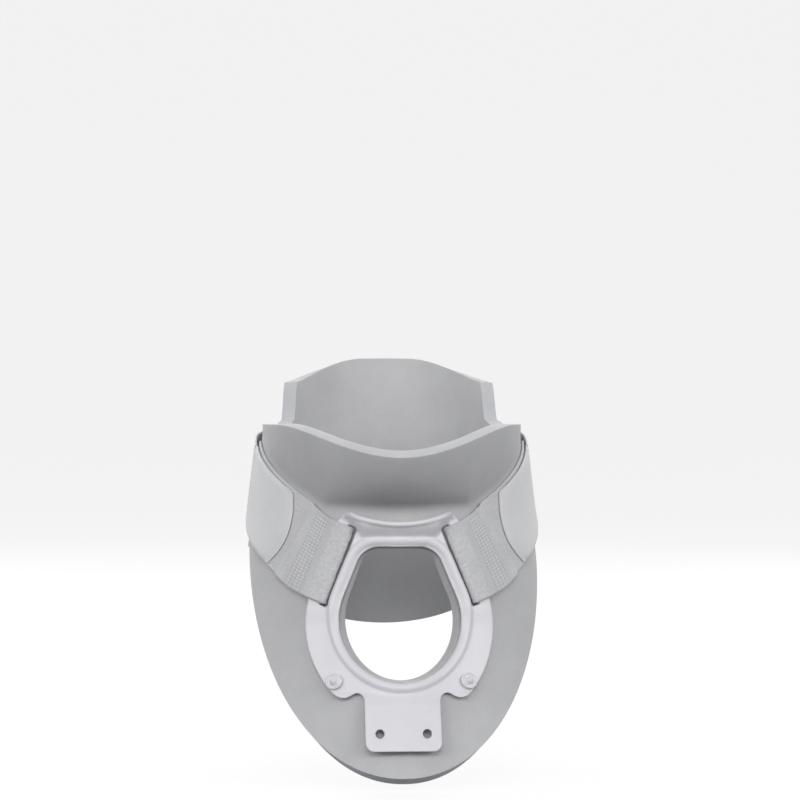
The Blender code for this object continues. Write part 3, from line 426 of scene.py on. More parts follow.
class Look:
    """A Principled material, with short ways to add nodes to it."""

    def __init__(self, name, colour, roughness, **settings):
        self.colour = colour
        self.material = bpy.data.materials.new(name)
        self.material.use_nodes = True
        self.nodes = self.material.node_tree.nodes
        self.shader = self.nodes["Principled BSDF"]
        self.set("Base Color", (*colour, 1.0))
        self.set("Roughness", roughness)
        for socket, value in settings.items():
            self.set(socket.replace("_", " "), value)

    def feed(self, socket, value):
        """Sets a socket's value, or links another node's output to it."""
        if isinstance(value, bpy.types.NodeSocket):
            self.material.node_tree.links.new(value, socket)
        else:
            socket.default_value = value

    def set(self, socket, value):
        self.feed(self.shader.inputs[socket], value)

    def add(self, kind, **inputs):
        made = self.nodes.new(kind)
        for socket, value in inputs.items():
            self.feed(made.inputs[socket], value)
        return made

    def stretched(self, source, scale):
        return self.add("ShaderNodeMapping", Vector=source, Scale=scale).outputs["Vector"]

    def place(self, *scale):
        """Object coordinates, stretched by this scale if there is one."""
        return self.stretched(self.add("ShaderNodeTexCoord").outputs["Object"], scale or (1.0, 1.0, 1.0))

    def stored(self, attribute):
        made = self.add("ShaderNodeAttribute")
        made.attribute_name = attribute
        return made

    def course(self, *scale):
        """The strap's own coordinates, lengthwise and crosswise, stretched in the same way."""
        return self.stretched(self.stored("course").outputs["Vector"], scale or (1.0, 1.0, 1.0))

    def noise(self, vector, scale, detail, roughness=0.55):
        made = self.add("ShaderNodeTexNoise", Vector=vector, Scale=scale, Detail=detail, Roughness=roughness)
        return made.outputs["Fac"]

    def calc(self, operation, *values):
        made = self.add("ShaderNodeMath")
        made.operation = operation
        for socket, value in zip(made.inputs, values):
            self.feed(socket, value)
        return made.outputs[0]

    def total(self, *parts):
        """The sum of values, each times its share."""
        tone = None
        for value, share in parts:
            part = self.calc("MULTIPLY", value, share)
            tone = part if tone is None else self.calc("ADD", tone, part)
        return tone

    def tint(self, factor, low, high, low_at=0.0, high_at=1.0):
        """The colour goes from its low share to its high one as the factor rises."""
        ramp = self.add("ShaderNodeValToRGB", Fac=factor)
        for element, share, position in zip(ramp.color_ramp.elements, (low, high), (low_at, high_at)):
            element.position = position
            element.color = (*(channel * share for channel in self.colour), 1.0)
        self.set("Base Color", ramp.outputs["Color"])

    def bump(self, height, distance, strength):
        """Adds bumps to those that are there. Distance is what a height of 1 comes to, in metres."""
        made = self.add("ShaderNodeBump", Height=height, Strength=strength, Distance=distance)
        for link in self.shader.inputs["Normal"].links:
            self.feed(made.inputs["Normal"], link.from_socket)
        self.set("Normal", made.outputs["Normal"])


def foam_material(name, colour, cell_depth, cell_scale):
    """Closed-cell foam: fine cells, a faint cloudiness and a dull, slightly velvety surface."""
    look = Look(name, colour, 0.82, Sheen_Weight=0.12, Sheen_Roughness=0.5)
    place = look.place()
    clouds = look.noise(place, 34.0, 4.0)
    specks = look.noise(place, 900.0, 2.0)
    look.tint(look.total((specks, 0.35), (clouds, 0.65)), 0.93, 1.07, 0.35, 0.68)
    cells = look.add("ShaderNodeTexVoronoi", Vector=place, Scale=cell_scale)
    cells.feature = "SMOOTH_F1"
    look.bump(clouds, 0.0006, 0.35)
    look.bump(cells.outputs["Distance"], cell_depth, 0.5)
    look.set("Roughness", look.calc("MULTIPLY_ADD", clouds, 0.12, 0.76))
    return look.material


def moulded_material(name, colour, roughness, **settings):
    """Satin moulded polyethylene: faint flow marks, a fine orange peel and slightly uneven gloss."""
    look = Look(name, colour, roughness, **settings)
    flow = look.noise(look.place(1.0, 1.0, 0.35), 40.0, 3.0)
    look.tint(flow, 0.965, 1.02, 0.3, 0.7)
    look.set("Roughness", look.calc("MULTIPLY_ADD", flow, 0.14, roughness - 0.07))
    look.bump(look.noise(look.place(), 420.0, 2.0), 0.00012, 0.5)
    return look.material


def pile_material(name, colour):
    """Brushed loop pile: tangled fibres, soft lighter tufts and a velvety sheen, with painted shade darkening
    it where the stitches pull it in.
    """
    look = Look(name, colour, 0.95, Sheen_Weight=0.35, Sheen_Roughness=0.45)
    fibres = look.noise(look.course(1.0, 0.45, 1.0), 1500.0, 3.0, 0.7)
    tufts = look.noise(look.course(), 600.0, 4.0, 0.6)
    patches = look.noise(look.place(), 70.0, 2.0)
    # Painted shade: the colour is darkened where the stitches pull the pile in.
    hollow_shade = look.stored("hollow_shade").outputs["Fac"]
    tone = look.total((tufts, 0.5), (fibres, 0.3), (patches, 0.2), (hollow_shade, -0.3))
    look.tint(tone, 0.55, 1.08, -0.1, 0.66)
    look.bump(tufts, 0.0004, 0.6)
    look.bump(fibres, 0.0002, 0.7)
    return look.material


def webbing_material(name, colour):
    """Smooth knitted tape: fine lengthwise ribs crossed by picks, a thread's width apart."""
    look = Look(name, colour, 0.62, Sheen_Weight=0.2, Sheen_Roughness=0.4)
    split = look.add("ShaderNodeSeparateXYZ", Vector=look.course())
    turns = 2.0 * math.pi / (THREAD * MM)
    along = look.calc("SINE", look.calc("MULTIPLY", split.outputs["X"], turns))
    across = look.calc("SINE", look.calc("MULTIPLY", split.outputs["Y"], turns * 0.8))
    weave = look.calc("MULTIPLY_ADD", look.calc("MULTIPLY", along, across), 0.5, 0.5)
    slub = look.noise(look.course(1.0, 0.12, 1.0), 900.0, 2.0)
    patches = look.noise(look.place(), 55.0, 2.0)
    look.tint(look.total((weave, 0.3), (slub, 0.3), (patches, 0.4)), 0.92, 1.06, 0.25, 0.75)
    look.bump(weave, 0.00016, 0.6)
    look.bump(slub, 0.0001, 0.5)
    return look.material


def hook_material(name, colour):
    """Hook tape: rows of tiny moulded hooks on a woven ground."""
    look = Look(name, colour, 0.5, Sheen_Weight=0.1)
    hooks = look.add("ShaderNodeTexVoronoi", Vector=look.course(), Scale=700.0, Randomness=0.35)
    look.tint(hooks.outputs["Distance"], 1.15, 0.7, 0.1, 0.6)
    look.bump(hooks.outputs["Distance"], -0.0006, 0.9)
    return look.material


def thread_material(name, colour):
    """Twisted polyester thread."""
    look = Look(name, colour, 0.6, Sheen_Weight=0.3, Sheen_Roughness=0.4)
    twist = look.add("ShaderNodeTexWave", Vector=look.place(), Scale=900.0, Distortion=1.0)
    look.tint(twist.outputs["Fac"], 0.88, 1.05)
    look.bump(twist.outputs["Fac"], 0.0001, 0.6)
    return look.material


# ---- meshes

def add_piece(name, mesh, *materials):
    made = bpy.data.objects.new(name, mesh)
    bpy.context.scene.collection.objects.link(made)
    for material in materials:
        mesh.materials.append(material)
    return made


def mesh_of(name, bm):
    """The mesh that was built in bm, which is freed."""
    mesh = bpy.data.meshes.new(name)
    bm.to_mesh(mesh)
    bm.free()
    return mesh


def surface(name, columns, rows, place):
    """A grid whose points place(u, w) puts in space, u and w from 0 to 1."""
    bm = bmesh.new()
    bmesh.ops.create_grid(bm, x_segments=columns, y_segments=rows, size=0.5)
    for vertex in bm.verts:
        vertex.co = place(vertex.co.x + 0.5, vertex.co.y + 0.5) * MM
    return mesh_of(name, bm)


def add_modifier(item, kind, **settings):
    made = item.modifiers.new(kind.title(), kind)
    for setting, value in settings.items():
        setattr(made, setting, value)
    return made


def apply_modifiers(item):
    """Puts what the modifiers make into the object's own mesh."""
    graph = bpy.context.evaluated_depsgraph_get()
    made = bpy.data.meshes.new_from_object(item.evaluated_get(graph))
    item.modifiers.clear()
    item.data = made
    return item


def combine(item, others, operation):
    """A Boolean with each of the others, which are then removed."""
    for other in others:
        add_modifier(item, "BOOLEAN", operation=operation, solver="EXACT", object=other)
    apply_modifiers(item)
    for other in others:
        bpy.data.objects.remove(other, do_unlink=True)


def shade_smooth(item, angle=SMOOTH_UP_TO):
    item.data.shade_smooth()
    item.data.set_sharp_from_angle(angle=math.radians(angle))


def new_curve(name, dimensions, outlines, closed=True):
    """A curve through each outline's points."""
    curve = bpy.data.curves.new(name, "CURVE")
    curve.dimensions = dimensions
    for outline in outlines:
        spline = curve.splines.new("POLY")
        spline.points.add(len(outline) - 1)
        for point, place in zip(spline.points, outline):
            point.co = (*(Vector(place).to_3d() * MM), 1.0)
        spline.use_cyclic_u = closed
    return curve


def curve_piece(name, curve, matrix=Matrix.Identity(4)):
    """A closed mesh object from a curve, with its caps welded on."""
    item = bpy.data.objects.new(name + "_curve", curve)
    bpy.context.scene.collection.objects.link(item)
    item.matrix_world = matrix
    graph = bpy.context.evaluated_depsgraph_get()
    mesh = bpy.data.meshes.new_from_object(item.evaluated_get(graph))
    mesh.transform(matrix)
    bpy.data.objects.remove(item, do_unlink=True)
    bm = bmesh.new()
    bm.from_mesh(mesh)
    bmesh.ops.remove_doubles(bm, verts=bm.verts, dist=0.000005)
    bmesh.ops.recalc_face_normals(bm, faces=bm.faces)
    return add_piece(name, mesh_of(name, bm))


def prism(name, outlines, near_y, far_y):
    """A block with this x-z outline, and holes where the outlines nest."""
    curve = new_curve(name, "2D", outlines)
    curve.fill_mode = "BOTH"
    curve.extrude = abs(far_y - near_y) / 2.0 * MM
    middle = Vector((0.0, (near_y + far_y) / 2.0 * MM, 0.0))
    return curve_piece(name, curve, Matrix.Translation(middle) @ Matrix.Rotation(math.pi / 2.0, 4, "X"))


def tube(name, points, radius, closed=True):
    curve = new_curve(name, "3D", [points], closed)
    curve.bevel_depth = radius * MM
    curve.bevel_resolution = 4
    curve.use_fill_caps = not closed
    return curve_piece(name, curve)


def spun(profile, steps, weld):
    """Turns a profile of radius and height round +Z. Points this close are joined."""
    bm = bmesh.new()
    points = [bm.verts.new((radius, 0.0, height)) for radius, height in profile]
    edges = [bm.edges.new(pair) for pair in zip(points, points[1:])]
    if profile[0][0] > 0.0:
        edges.append(bm.edges.new((points[-1], points[0])))
    bmesh.ops.spin(bm, geom=points + edges, cent=(0.0, 0.0, 0.0), axis=(0.0, 0.0, 1.0), angle=2.0 * math.pi,
                   steps=steps, use_merge=True)
    bmesh.ops.remove_doubles(bm, verts=bm.verts, dist=weld)
    return bm


def seat(half, place, side):
    """A frame on a half's wall at this x and z, whose +Z is the wall's outward normal."""
    wall, angle_at = WALLS[half]
    angle = angle_at(*place)
    normal = mirrored(outward(wall, angle, place[1]), side)
    centre = mirrored(wall(angle, place[1]), side)
    turn_to = Vector((0.0, 0.0, 1.0)).rotation_difference(normal)
    return Matrix.Translation(centre * MM) @ turn_to.to_matrix().to_4x4()


def rivet_pins(half):
    """Cutters for a half's rivet holes, on both sides."""
    pins = []
    radius = RIVET_HOLE * MM
    for place in RIVETS[half].values():
        for side in SIDES.values():
            bm = bmesh.new()
            bmesh.ops.create_cone(bm, cap_ends=True, segments=32, radius1=radius, radius2=radius,
                                  depth=PIN_LENGTH * MM, matrix=seat(half, place, side))
            pins.append(add_piece("pin", mesh_of("pin", bm)))
    return pins


def keep(item, body, slot, *nodes):
    """Puts a piece on its body, in the place of these CAD nodes. The slot is not used."""
    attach(item, body)
    if nodes:
        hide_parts(*nodes)


def arc(centre, radius, start, end, steps):
    points = []
    for step in range(steps + 1):
        angle = math.radians(start + (end - start) * step / steps)
        points.append((centre[0] + radius * math.cos(angle), centre[1] + radius * math.sin(angle)))
    return points


def both_sides(half):
    return half + [(-x, z) for x, z in reversed(half) if x > 0.001]


# ---- foam shells

def crease_z(angle):
    height = max(CREASE_Z, strap_centre_z(max(angle, BAR_ANGLE)) + CREASE_CLEARANCE)
    return min(height, RIM_SIDE_Z - SHELF_MARGIN)


def front_edge(reach):
    """Angle and height of the lower edge, and the angle that its column reaches at the crease."""
    side_angle = angle_on_front(FLAP_HALF_WIDTH, FLAP_TOP_Z)
    if reach <= FLAP_SHARE:
        turn = math.radians(90.0 * reach / FLAP_SHARE)
        power = 2.0 / FLAP_FULLNESS
        low_z = FLAP_TOP_Z - (FLAP_TOP_Z - FLAP_TIP_Z) * max(math.cos(turn), 0.0) ** power
        low_angle = angle_on_front(FLAP_HALF_WIDTH * math.sin(turn) ** power, low_z)
        return low_angle, low_z, side_angle * reach / FLAP_SHARE
    angle = side_angle + (WING_END - side_angle) * (reach - FLAP_SHARE) / (1.0 - FLAP_SHARE)
    return angle, FLAP_TOP_Z, angle


def front_foam_point(u, w):
    """Flap, waist, wings and chin shelf. The crease between wall and shelf is rounded."""
    side = 1.0 if u >= 0.5 else -1.0
    low_angle, low_z, high_angle = front_edge(min(abs(u - 0.5) * 2.0, 1.0))
    top_z = crease_z(high_angle)
    corner = front_wall(high_angle, top_z)
    reach = rim_point(high_angle) - corner
    level = Vector((reach.x, reach.y, 0.0))
    sag = (level.normalized() * reach.z - Vector((0.0, 0.0, level.length))).normalized()
    wall_length = top_z - low_z
    shelf_length = reach.length

    def on_wall(back):
        part = 1.0 - back / wall_length
        return front_wall(low_angle + (high_angle - low_angle) * part, low_z + wall_length * part)

    def on_shelf(up):
        part = up / shelf_length
        bulge = SHELF_CUP * level.length * 4.0 * part * (1.0 - part)
        return corner + reach * part + sag * bulge

    if w <= WALL_SHARE:
        place = -(1.0 - w / WALL_SHARE) * wall_length
    else:
        place = (w - WALL_SHARE) / (1.0 - WALL_SHARE) * shelf_length
    front_radius, side_radius = CREASE_RADIUS
    radius = front_radius + (side_radius - front_radius) * smooth(high_angle, *CREASE_EASE)
    radius = min(radius, 0.9 * shelf_length)
    if abs(place) < radius:
        t = (place + radius) / (2.0 * radius)
        point = on_wall(radius) * (1.0 - t) ** 2 + corner * 2.0 * t * (1.0 - t) + on_shelf(radius) * t * t
    else:
        point = on_wall(-place) if place < 0.0 else on_shelf(place)
    return mirrored(point, side)


def rear_low_z(angle):
    if angle > 90.0:
        return ARM_LOW_Z + REAR_DROP * math.cos(math.radians(angle))
    return ARM_LOW_Z + ARM_END_LIFT * (1.0 - smooth(angle, REAR_START, 90.0))


def rear_high_z(angle):
    shoulder = ARM_HIGH_Z + (SHOULDER_Z - ARM_HIGH_Z) * smooth(angle, *SHOULDER_ANGLES)
    panel = (HEAD_PANEL_SIDE_Z - SHOULDER_Z) * smooth(angle, *PANEL_STEP_ANGLES)
    crown = (HEAD_PANEL_TOP_Z - HEAD_PANEL_SIDE_Z) * smooth(angle, *CROWN_ANGLES)
    return shoulder + panel + crown


def rear_foam_point(u, w):
    angle = REAR_START + (360.0 - 2.0 * REAR_START) * u
    side = 1.0 if angle <= 180.0 else -1.0
    angle = min(angle, 360.0 - angle)
    low_z = rear_low_z(angle)
    return mirrored(rear_wall(angle, low_z + (rear_high_z(angle) - low_z) * w), side)


def foam_shell(name, columns, rows, place, materials, cutters):
    """A moulded foam wall with softened cut edges, which show the foam's open cells."""
    item = add_piece(name, surface(name, columns, rows, place), *materials)
    add_modifier(item, "SOLIDIFY", thickness=FOAM * MM, offset=-1.0, use_even_offset=True,
                 material_offset_rim=1)
    add_modifier(item, "BEVEL", width=FOAM_EDGE * MM, segments=3, limit_method="ANGLE",
                 angle_limit=math.radians(50.0), material=0)
    apply_modifiers(item)
    combine(item, cutters, "DIFFERENCE")
    shade_smooth(item, 35.0)
    return item


def window_plug():
    """Cuts the window through the foam, level and square to its curve round the neck."""
    rings = []
    for height in (4.0, -FOAM - 4.0):
        ring = []
        for x, z in window_outline(FOAM_WINDOW_INSET):
            angle = angle_on_front(abs(x), z)
            normal = outward(front_wall, angle, z)
            normal.z = 0.0
            point = front_wall(angle, z) + normal.normalized() * height
            point.x = math.copysign(point.x, x)
            ring.append(point)
        rings.append(ring)
    bm = bmesh.new()
    outer, inner = ([bm.verts.new(point * MM) for point in ring] for ring in rings)
    for n, vertex in enumerate(outer):
        bm.faces.new((outer[n - 1], vertex, inner[n], inner[n - 1]))
    for ring in (outer, inner):
        middle = bm.verts.new(sum((vertex.co for vertex in ring), Vector()) / len(ring))
        for n, vertex in enumerate(ring):
            bm.faces.new((ring[n - 1], vertex, middle))
    bmesh.ops.recalc_face_normals(bm, faces=bm.faces)
    return add_piece("window_plug", mesh_of("window_plug", bm))


def make_foam(materials):
    cutters = [window_plug()] + rivet_pins("front")
    front = foam_shell("front_foam", 180, 96, front_foam_point, materials, cutters)
    keep(front, "front_half", "foam", "front_foam_shell")
    rear = foam_shell("rear_foam", 190, 64, rear_foam_point, materials, rivet_pins("rear"))
    keep(rear, "rear_half", "foam", "rear_foam_shell")


# ---- plastic supports

def window_outline(inset=0.0):
    corner_z = WINDOW_TOP_Z - WINDOW_CORNER
    lean = math.radians(WINDOW_SIDE_LEAN)
    reach = WINDOW_RADIUS - WINDOW_CORNER - (corner_z - WINDOW_CENTRE_Z) * math.sin(lean)
    corner_x = reach / math.cos(lean)
    half = [(0.0, WINDOW_TOP_Z - inset)]
    half += arc((corner_x, corner_z), WINDOW_CORNER - inset, 90.0, WINDOW_SIDE_LEAN, 16)
    half += arc((0.0, WINDOW_CENTRE_Z), WINDOW_RADIUS - inset, WINDOW_SIDE_LEAN, -90.0, 40)
    return both_sides(half)


def slot_outlines(centre, lean):
    """The slots of both sides, with rounded corners."""
    half_across = SLOT_WIDTH / 2.0 - SLOT_CORNER
    half_along = SLOT_LENGTH / 2.0 - SLOT_CORNER
    outline = []
    for x, y, start in ((1, 1, 0), (-1, 1, 90), (-1, -1, 180), (1, -1, 270)):
        corner = arc((x * half_across, y * half_along), SLOT_CORNER, start, start + 90, 8)
        outline += [leaning(centre, lean, *place) for place in corner]
    return [[(side * x, z) for x, z in outline] for side in SIDES.values()]


def lobe_end_centre():
    turn = math.radians(LOBE_END_ANGLE)
    reach = LOBE_RADIUS - LOBE_END_RADIUS
    return (reach * math.cos(turn), LOBE_CENTRE_Z + reach * math.sin(turn))


def top_edge_z(x):
    middle_z, rise = TOP_EDGE
    return middle_z + rise * (x / TOP_CORNER[0]) ** 2


def front_plate_outline():
    """Top edge, slot bars, side lobes, notches and the lower tab."""
    bar_edge = SLOT_WIDTH / 2.0 + BAR_WIDTH
    half = [(x, top_edge_z(x)) for x in range(0, 28, 3)]
    half += arc(TOP_CORNER, TOP_CORNER_RADIUS, *TOP_CORNER_ANGLES, 8)
    half += [slot_point(bar_edge, along) for along in BAR_ENDS]
    half += arc((0.0, LOBE_CENTRE_Z), LOBE_RADIUS, LOBE_START_ANGLE, LOBE_END_ANGLE, 28)
    half += arc(lobe_end_centre(), LOBE_END_RADIUS, LOBE_END_ANGLE, NOTCH_ANGLE - 180.0, 12)
    half += arc(NOTCH_CENTRE, NOTCH_RADIUS, NOTCH_ANGLE, 180.0, 12)
    half += arc((TAB_HALF_WIDTH - TAB_CORNER, TAB_BOTTOM_Z + TAB_CORNER), TAB_CORNER, 0.0, -90.0, 10)
    half.append((0.0, TAB_BOTTOM_Z))
    return both_sides(half)


def rear_plate_outline():
    """A stay down the back of the neck, with a slotted wing on each side at the straps' height."""
    wing_x = REAR_SLOT_X + SLOT_WIDTH / 2.0 + BAR_WIDTH
    wing_low = REAR_STRAP_Z - SLOT_LENGTH / 2.0 - REAR_WING_BELOW_SLOT
    top, tip, root = REAR_WING_CORNERS
    foot = REAR_STAY_CORNER
    half = [(0.0, REAR_STAY_TOP_Z)]
    half += arc((wing_x - top, REAR_STAY_TOP_Z - top), top, 90.0, 0.0, 14)
    half += arc((wing_x - tip, wing_low + tip), tip, 0.0, -90.0, 12)
    half += arc((REAR_STAY_HALF_WIDTH + root, wing_low - root), root, 90.0, 180.0, 12)
    half += arc((REAR_STAY_HALF_WIDTH - foot, REAR_STAY_BOTTOM_Z + foot), foot, 0.0, -90.0, 12)
    half.append((0.0, REAR_STAY_BOTTOM_Z))
    return both_sides(half)


def front_plate_lift(x, z):
    """How far the plate's inner face lies off the foam. Its top edge curls forward."""
    lift = PLATE_REST + (BAR_LIFT - PLATE_REST) * smooth(z, *BAR_RAMP_Z)
    beside_slot = LIP_EASE * max(abs(x) - LIP_HALF_WIDTH, 0.0)
    return lift + TOP_LIP * smooth(z - beside_slot, LIP_START_Z, LIP_END_Z)


def tab_plane_y(z):
    """The lower tab's flat inner face, which leans away from the foam."""
    low_y = -front_depth(TAB_BOTTOM_Z) - TAB_STAND_OFF
    high_y = -front_depth(TAB_TOP_Z) - PLATE_REST
    return high_y + (low_y - high_y) * (z - TAB_TOP_Z) / (TAB_BOTTOM_Z - TAB_TOP_Z)


def on_sheet(sheet, u, w):
    left, right, low, high = sheet
    return left + (right - left) * u, low + (high - low) * w


def front_plate_point(u, w):
    x, z = on_sheet(FRONT_SHEET, u, w)
    point = on_front_plate(x, z, 0.0)
    share = smooth(-z, -TAB_TOP_Z, -TAB_FLAT_Z)
    point.y += (tab_plane_y(z) - point.y) * share
    if share >= 1.0:
        point.x = x
        point.z = z
    return point


def rear_plate_point(u, w):
    x, z = on_sheet(REAR_SHEET, u, w)
    point = lifted(rear_wall, angle_on_rear(abs(x), z), z, BAR_LIFT)
    return Vector((-math.copysign(point.x, x), point.y, point.z))


def on_front_plate(x, z, height):
    """A point this high above the front plate's inner face."""
    point = lifted(front_wall, angle_on_front(abs(x), z), z, front_plate_lift(x, z) + height)
    point.x = math.copysign(point.x, x)
    return point


def bead_points():
    """The bead round the window hides the plate's edge."""
    return [on_front_plate(x, z, PLATE - BEAD_SINK) for x, z in window_outline(BEAD_OVERHANG - BEAD_RADIUS)]


def make_bead():
    """Only what stands above the plate's inner face is kept of the tube."""
    bead = tube("bead", bead_points(), BEAD_RADIUS)
    slab = add_piece("slab", surface("slab", 60, 70, front_plate_point))
    add_modifier(slab, "SOLIDIFY", thickness=2.0 * BEAD_RADIUS * MM, offset=1.0, use_even_offset=True)
    apply_modifiers(slab)
    combine(bead, [slab], "INTERSECT")
    return bead


def roll_course():
    """Half of the rolled top edge in x and z: along the top, round the corner and a little down its side."""
    half = []
    for n in range(25):
        x = (TOP_CORNER[0] - ROLL_CORNER_GAP) * n / 24.0
        half.append((x, top_edge_z(x) - TOP_ROLL))
    half += arc(TOP_CORNER, TOP_CORNER_RADIUS - TOP_ROLL, ROLL_CORNER_ANGLE, CORNER_SIDE_ANGLE, 6)
    x, z = half[-1]
    turn = math.radians(CORNER_SIDE_ANGLE - 90.0)
    half += [(x + d * math.cos(turn), z + d * math.sin(turn)) for d in (1.0, 2.0, ROLL_SIDE)]
    return half


def roll_points():
    """The rolled top edge, from one corner's side to the other's."""
    half = roll_course()
    points = []
    for x, z in [(-x, z) for x, z in reversed(half[1:])] + half:
        wall_x, wall_z = x, z
        for _ in range(8):
            point = on_front_plate(wall_x, wall_z, PLATE / 2.0 + ROLL_PROUD)
            wall_x += x - point.x
            wall_z += z - point.z
        points.append(point)
    return points


def moulded_plate(name, columns, rows, place, outline, unions, holes, material):
    """A bent sheet trimmed to its outline, then remeshed and relaxed so that its edges are moulded round."""
    item = add_piece(name, surface(name, columns, rows, place))
    add_modifier(item, "SOLIDIFY", thickness=PLATE * MM, offset=1.0, use_even_offset=True)
    apply_modifiers(item)
    combine(item, [outline], "INTERSECT")
    if unions:
        combine(item, unions, "UNION")
    combine(item, holes, "DIFFERENCE")
    add_modifier(item, "REMESH", mode="VOXEL", voxel_size=VOXEL * MM)
    add_modifier(item, "SMOOTH", factor=0.5, iterations=6)
    apply_modifiers(item)
    item.data.shade_smooth()
    item.data.materials.append(material)
    return item


def make_plates(material):
    screw_holes = [arc((side * TAB_HOLE[0], TAB_HOLE[1]), TAB_HOLE_RADIUS, 0.0, 348.75, 31)
                   for side in SIDES.values()]
    outlines = [front_plate_outline(), window_outline()] + slot_outlines(SLOT_CENTRE, SLOT_LEAN) + screw_holes
    outline = prism("front_outline", outlines, *FRONT_CUT)
    beads = [make_bead(), tube("roll", roll_points(), TOP_ROLL, closed=False)]
    holes = rivet_pins("front")
    front = moulded_plate("front_support", 90, 105, front_plate_point, outline, beads, holes, material)
    keep(front, "front_half", "support_plastic", "front_plate")

    outlines = [rear_plate_outline()] + slot_outlines((REAR_SLOT_X, REAR_STRAP_Z), 0.0)
    outline = prism("rear_outline", outlines, *REAR_CUT)
    rear = moulded_plate("rear_support", 72, 90, rear_plate_point, outline, [], rivet_pins("rear"), material)
    keep(rear, "rear_half", "support_plastic", "rear_plate")


# ---- rivets

def turned(name, profile, matrix, material):
    """A solid from a profile in millimetres that runs down its outer side."""
    bm = spun([(radius * MM, height * MM) for radius, height in profile], 48, 0.000002)
    bmesh.ops.recalc_face_normals(bm, faces=bm.faces)
    mesh = mesh_of(name, bm)
    mesh.transform(matrix)
    item = add_piece(name, mesh, material)
    shade_smooth(item)
    return item


def rivet_profile(under_head, end):
    """Dome inside a raised rim, a flange with a rounded edge, the shank, and the clenched end."""
    top = under_head + FLANGE_THICKNESS
    profile = [(0.0, top + DOME_HEIGHT)]
    profile += arc((0.0, top - 0.6), 2.3, 85.0, 20.0, 8)
    profile += [(2.75, top - 0.35), (3.3, top - 0.45), (3.7, top - 0.2)]
    profile += arc((4.35, top - 0.25), 0.55, 150.0, -10.0, 8)
    profile += [(5.0, top - 0.7), (4.9, under_head)]
    profile += [(RIVET_SHANK, under_head), (RIVET_SHANK, end), (3.2, end)]
    profile += arc((3.0, end - 0.5), 0.45, 60.0, -80.0, 5)
    profile.append((0.0, end - 1.2))
    return profile


def washer_profile(face):
    low = face - WASHER_THICKNESS
    rounded = [(5.6, face), (5.9, face - 0.15), (6.0, face - 0.5), (5.8, low + 0.2), (5.4, low)]
    return [(RIVET_HOLE, face)] + rounded + [(RIVET_HOLE, low)]


def make_rivet(half, label, place, side, materials):
    """A rivet and its washer, at this place on the half's wall."""
    lift = PLATE_REST if half == "front" else BAR_LIFT
    washer_face = -FOAM - FLANGE_SEAT
    head = rivet_profile(lift + PLATE + FLANGE_SEAT, washer_face - CLENCH_DEPTH)
    matrix = seat(half, place, side)
    rivet = turned(f"fine_rivet_{half}_{label}", head, matrix, materials["rivet"])
    keep(rivet, half + "_half", "rivet_plastic", f"{half}_rivet_{label}")
    washer = turned(f"fine_washer_{half}_{label}", washer_profile(washer_face), matrix, materials["washer"])
    keep(washer, half + "_half", "washer_plastic", f"{half}_rivet_washer_{label}")


def make_rivets(materials):
    for suffix, side in SIDES.items():
        for half, places in RIVETS.items():
            for level, place in places.items():
                make_rivet(half, level + suffix, place, side, materials)


# ---- straps

def spread(start, end, step):
    """Values from start to end in equal steps of about this size, without the first one."""
    count = max(1, round(abs(end - start) / step))
    return [start + (end - start) * (n + 1) / count for n in range(count)]


def fold_stations(thickness, back):
    """Distance and height of the strap's middle: back behind the bar, round it, over it and down to the foam.

    The end that is folded back is this long.
    """
    behind = GAP + thickness / 2.0
    over = BAR_LIFT + PLATE + FOLD_GAP + thickness / 2.0
    lying = behind + thickness + GAP
    radius = (over - behind) / 2.0
    stations = [(back, behind)]
    stations += [(d, behind) for d in spread(back, 0.0, 1.6)]
    for step in range(1, 20):
        turn = math.pi * step / 20.0
        stations.append((-radius * math.sin(turn), behind + radius - radius * math.cos(turn)))
    stations += [(d, over) for d in spread(-0.3, BAR_WIDTH, 0.8)]
    down = BAR_WIDTH + BAR_STEP
    for d in spread(BAR_WIDTH, down, 0.6):
        stations.append((d, over + (lying - over) * smooth(d, BAR_WIDTH, down)))
    end = back + STEP_DOWN
    for d in spread(down, end, 0.5):
        stations.append((d, lying + (behind - lying) * smooth(d, back + 0.8, end)))
    return stations


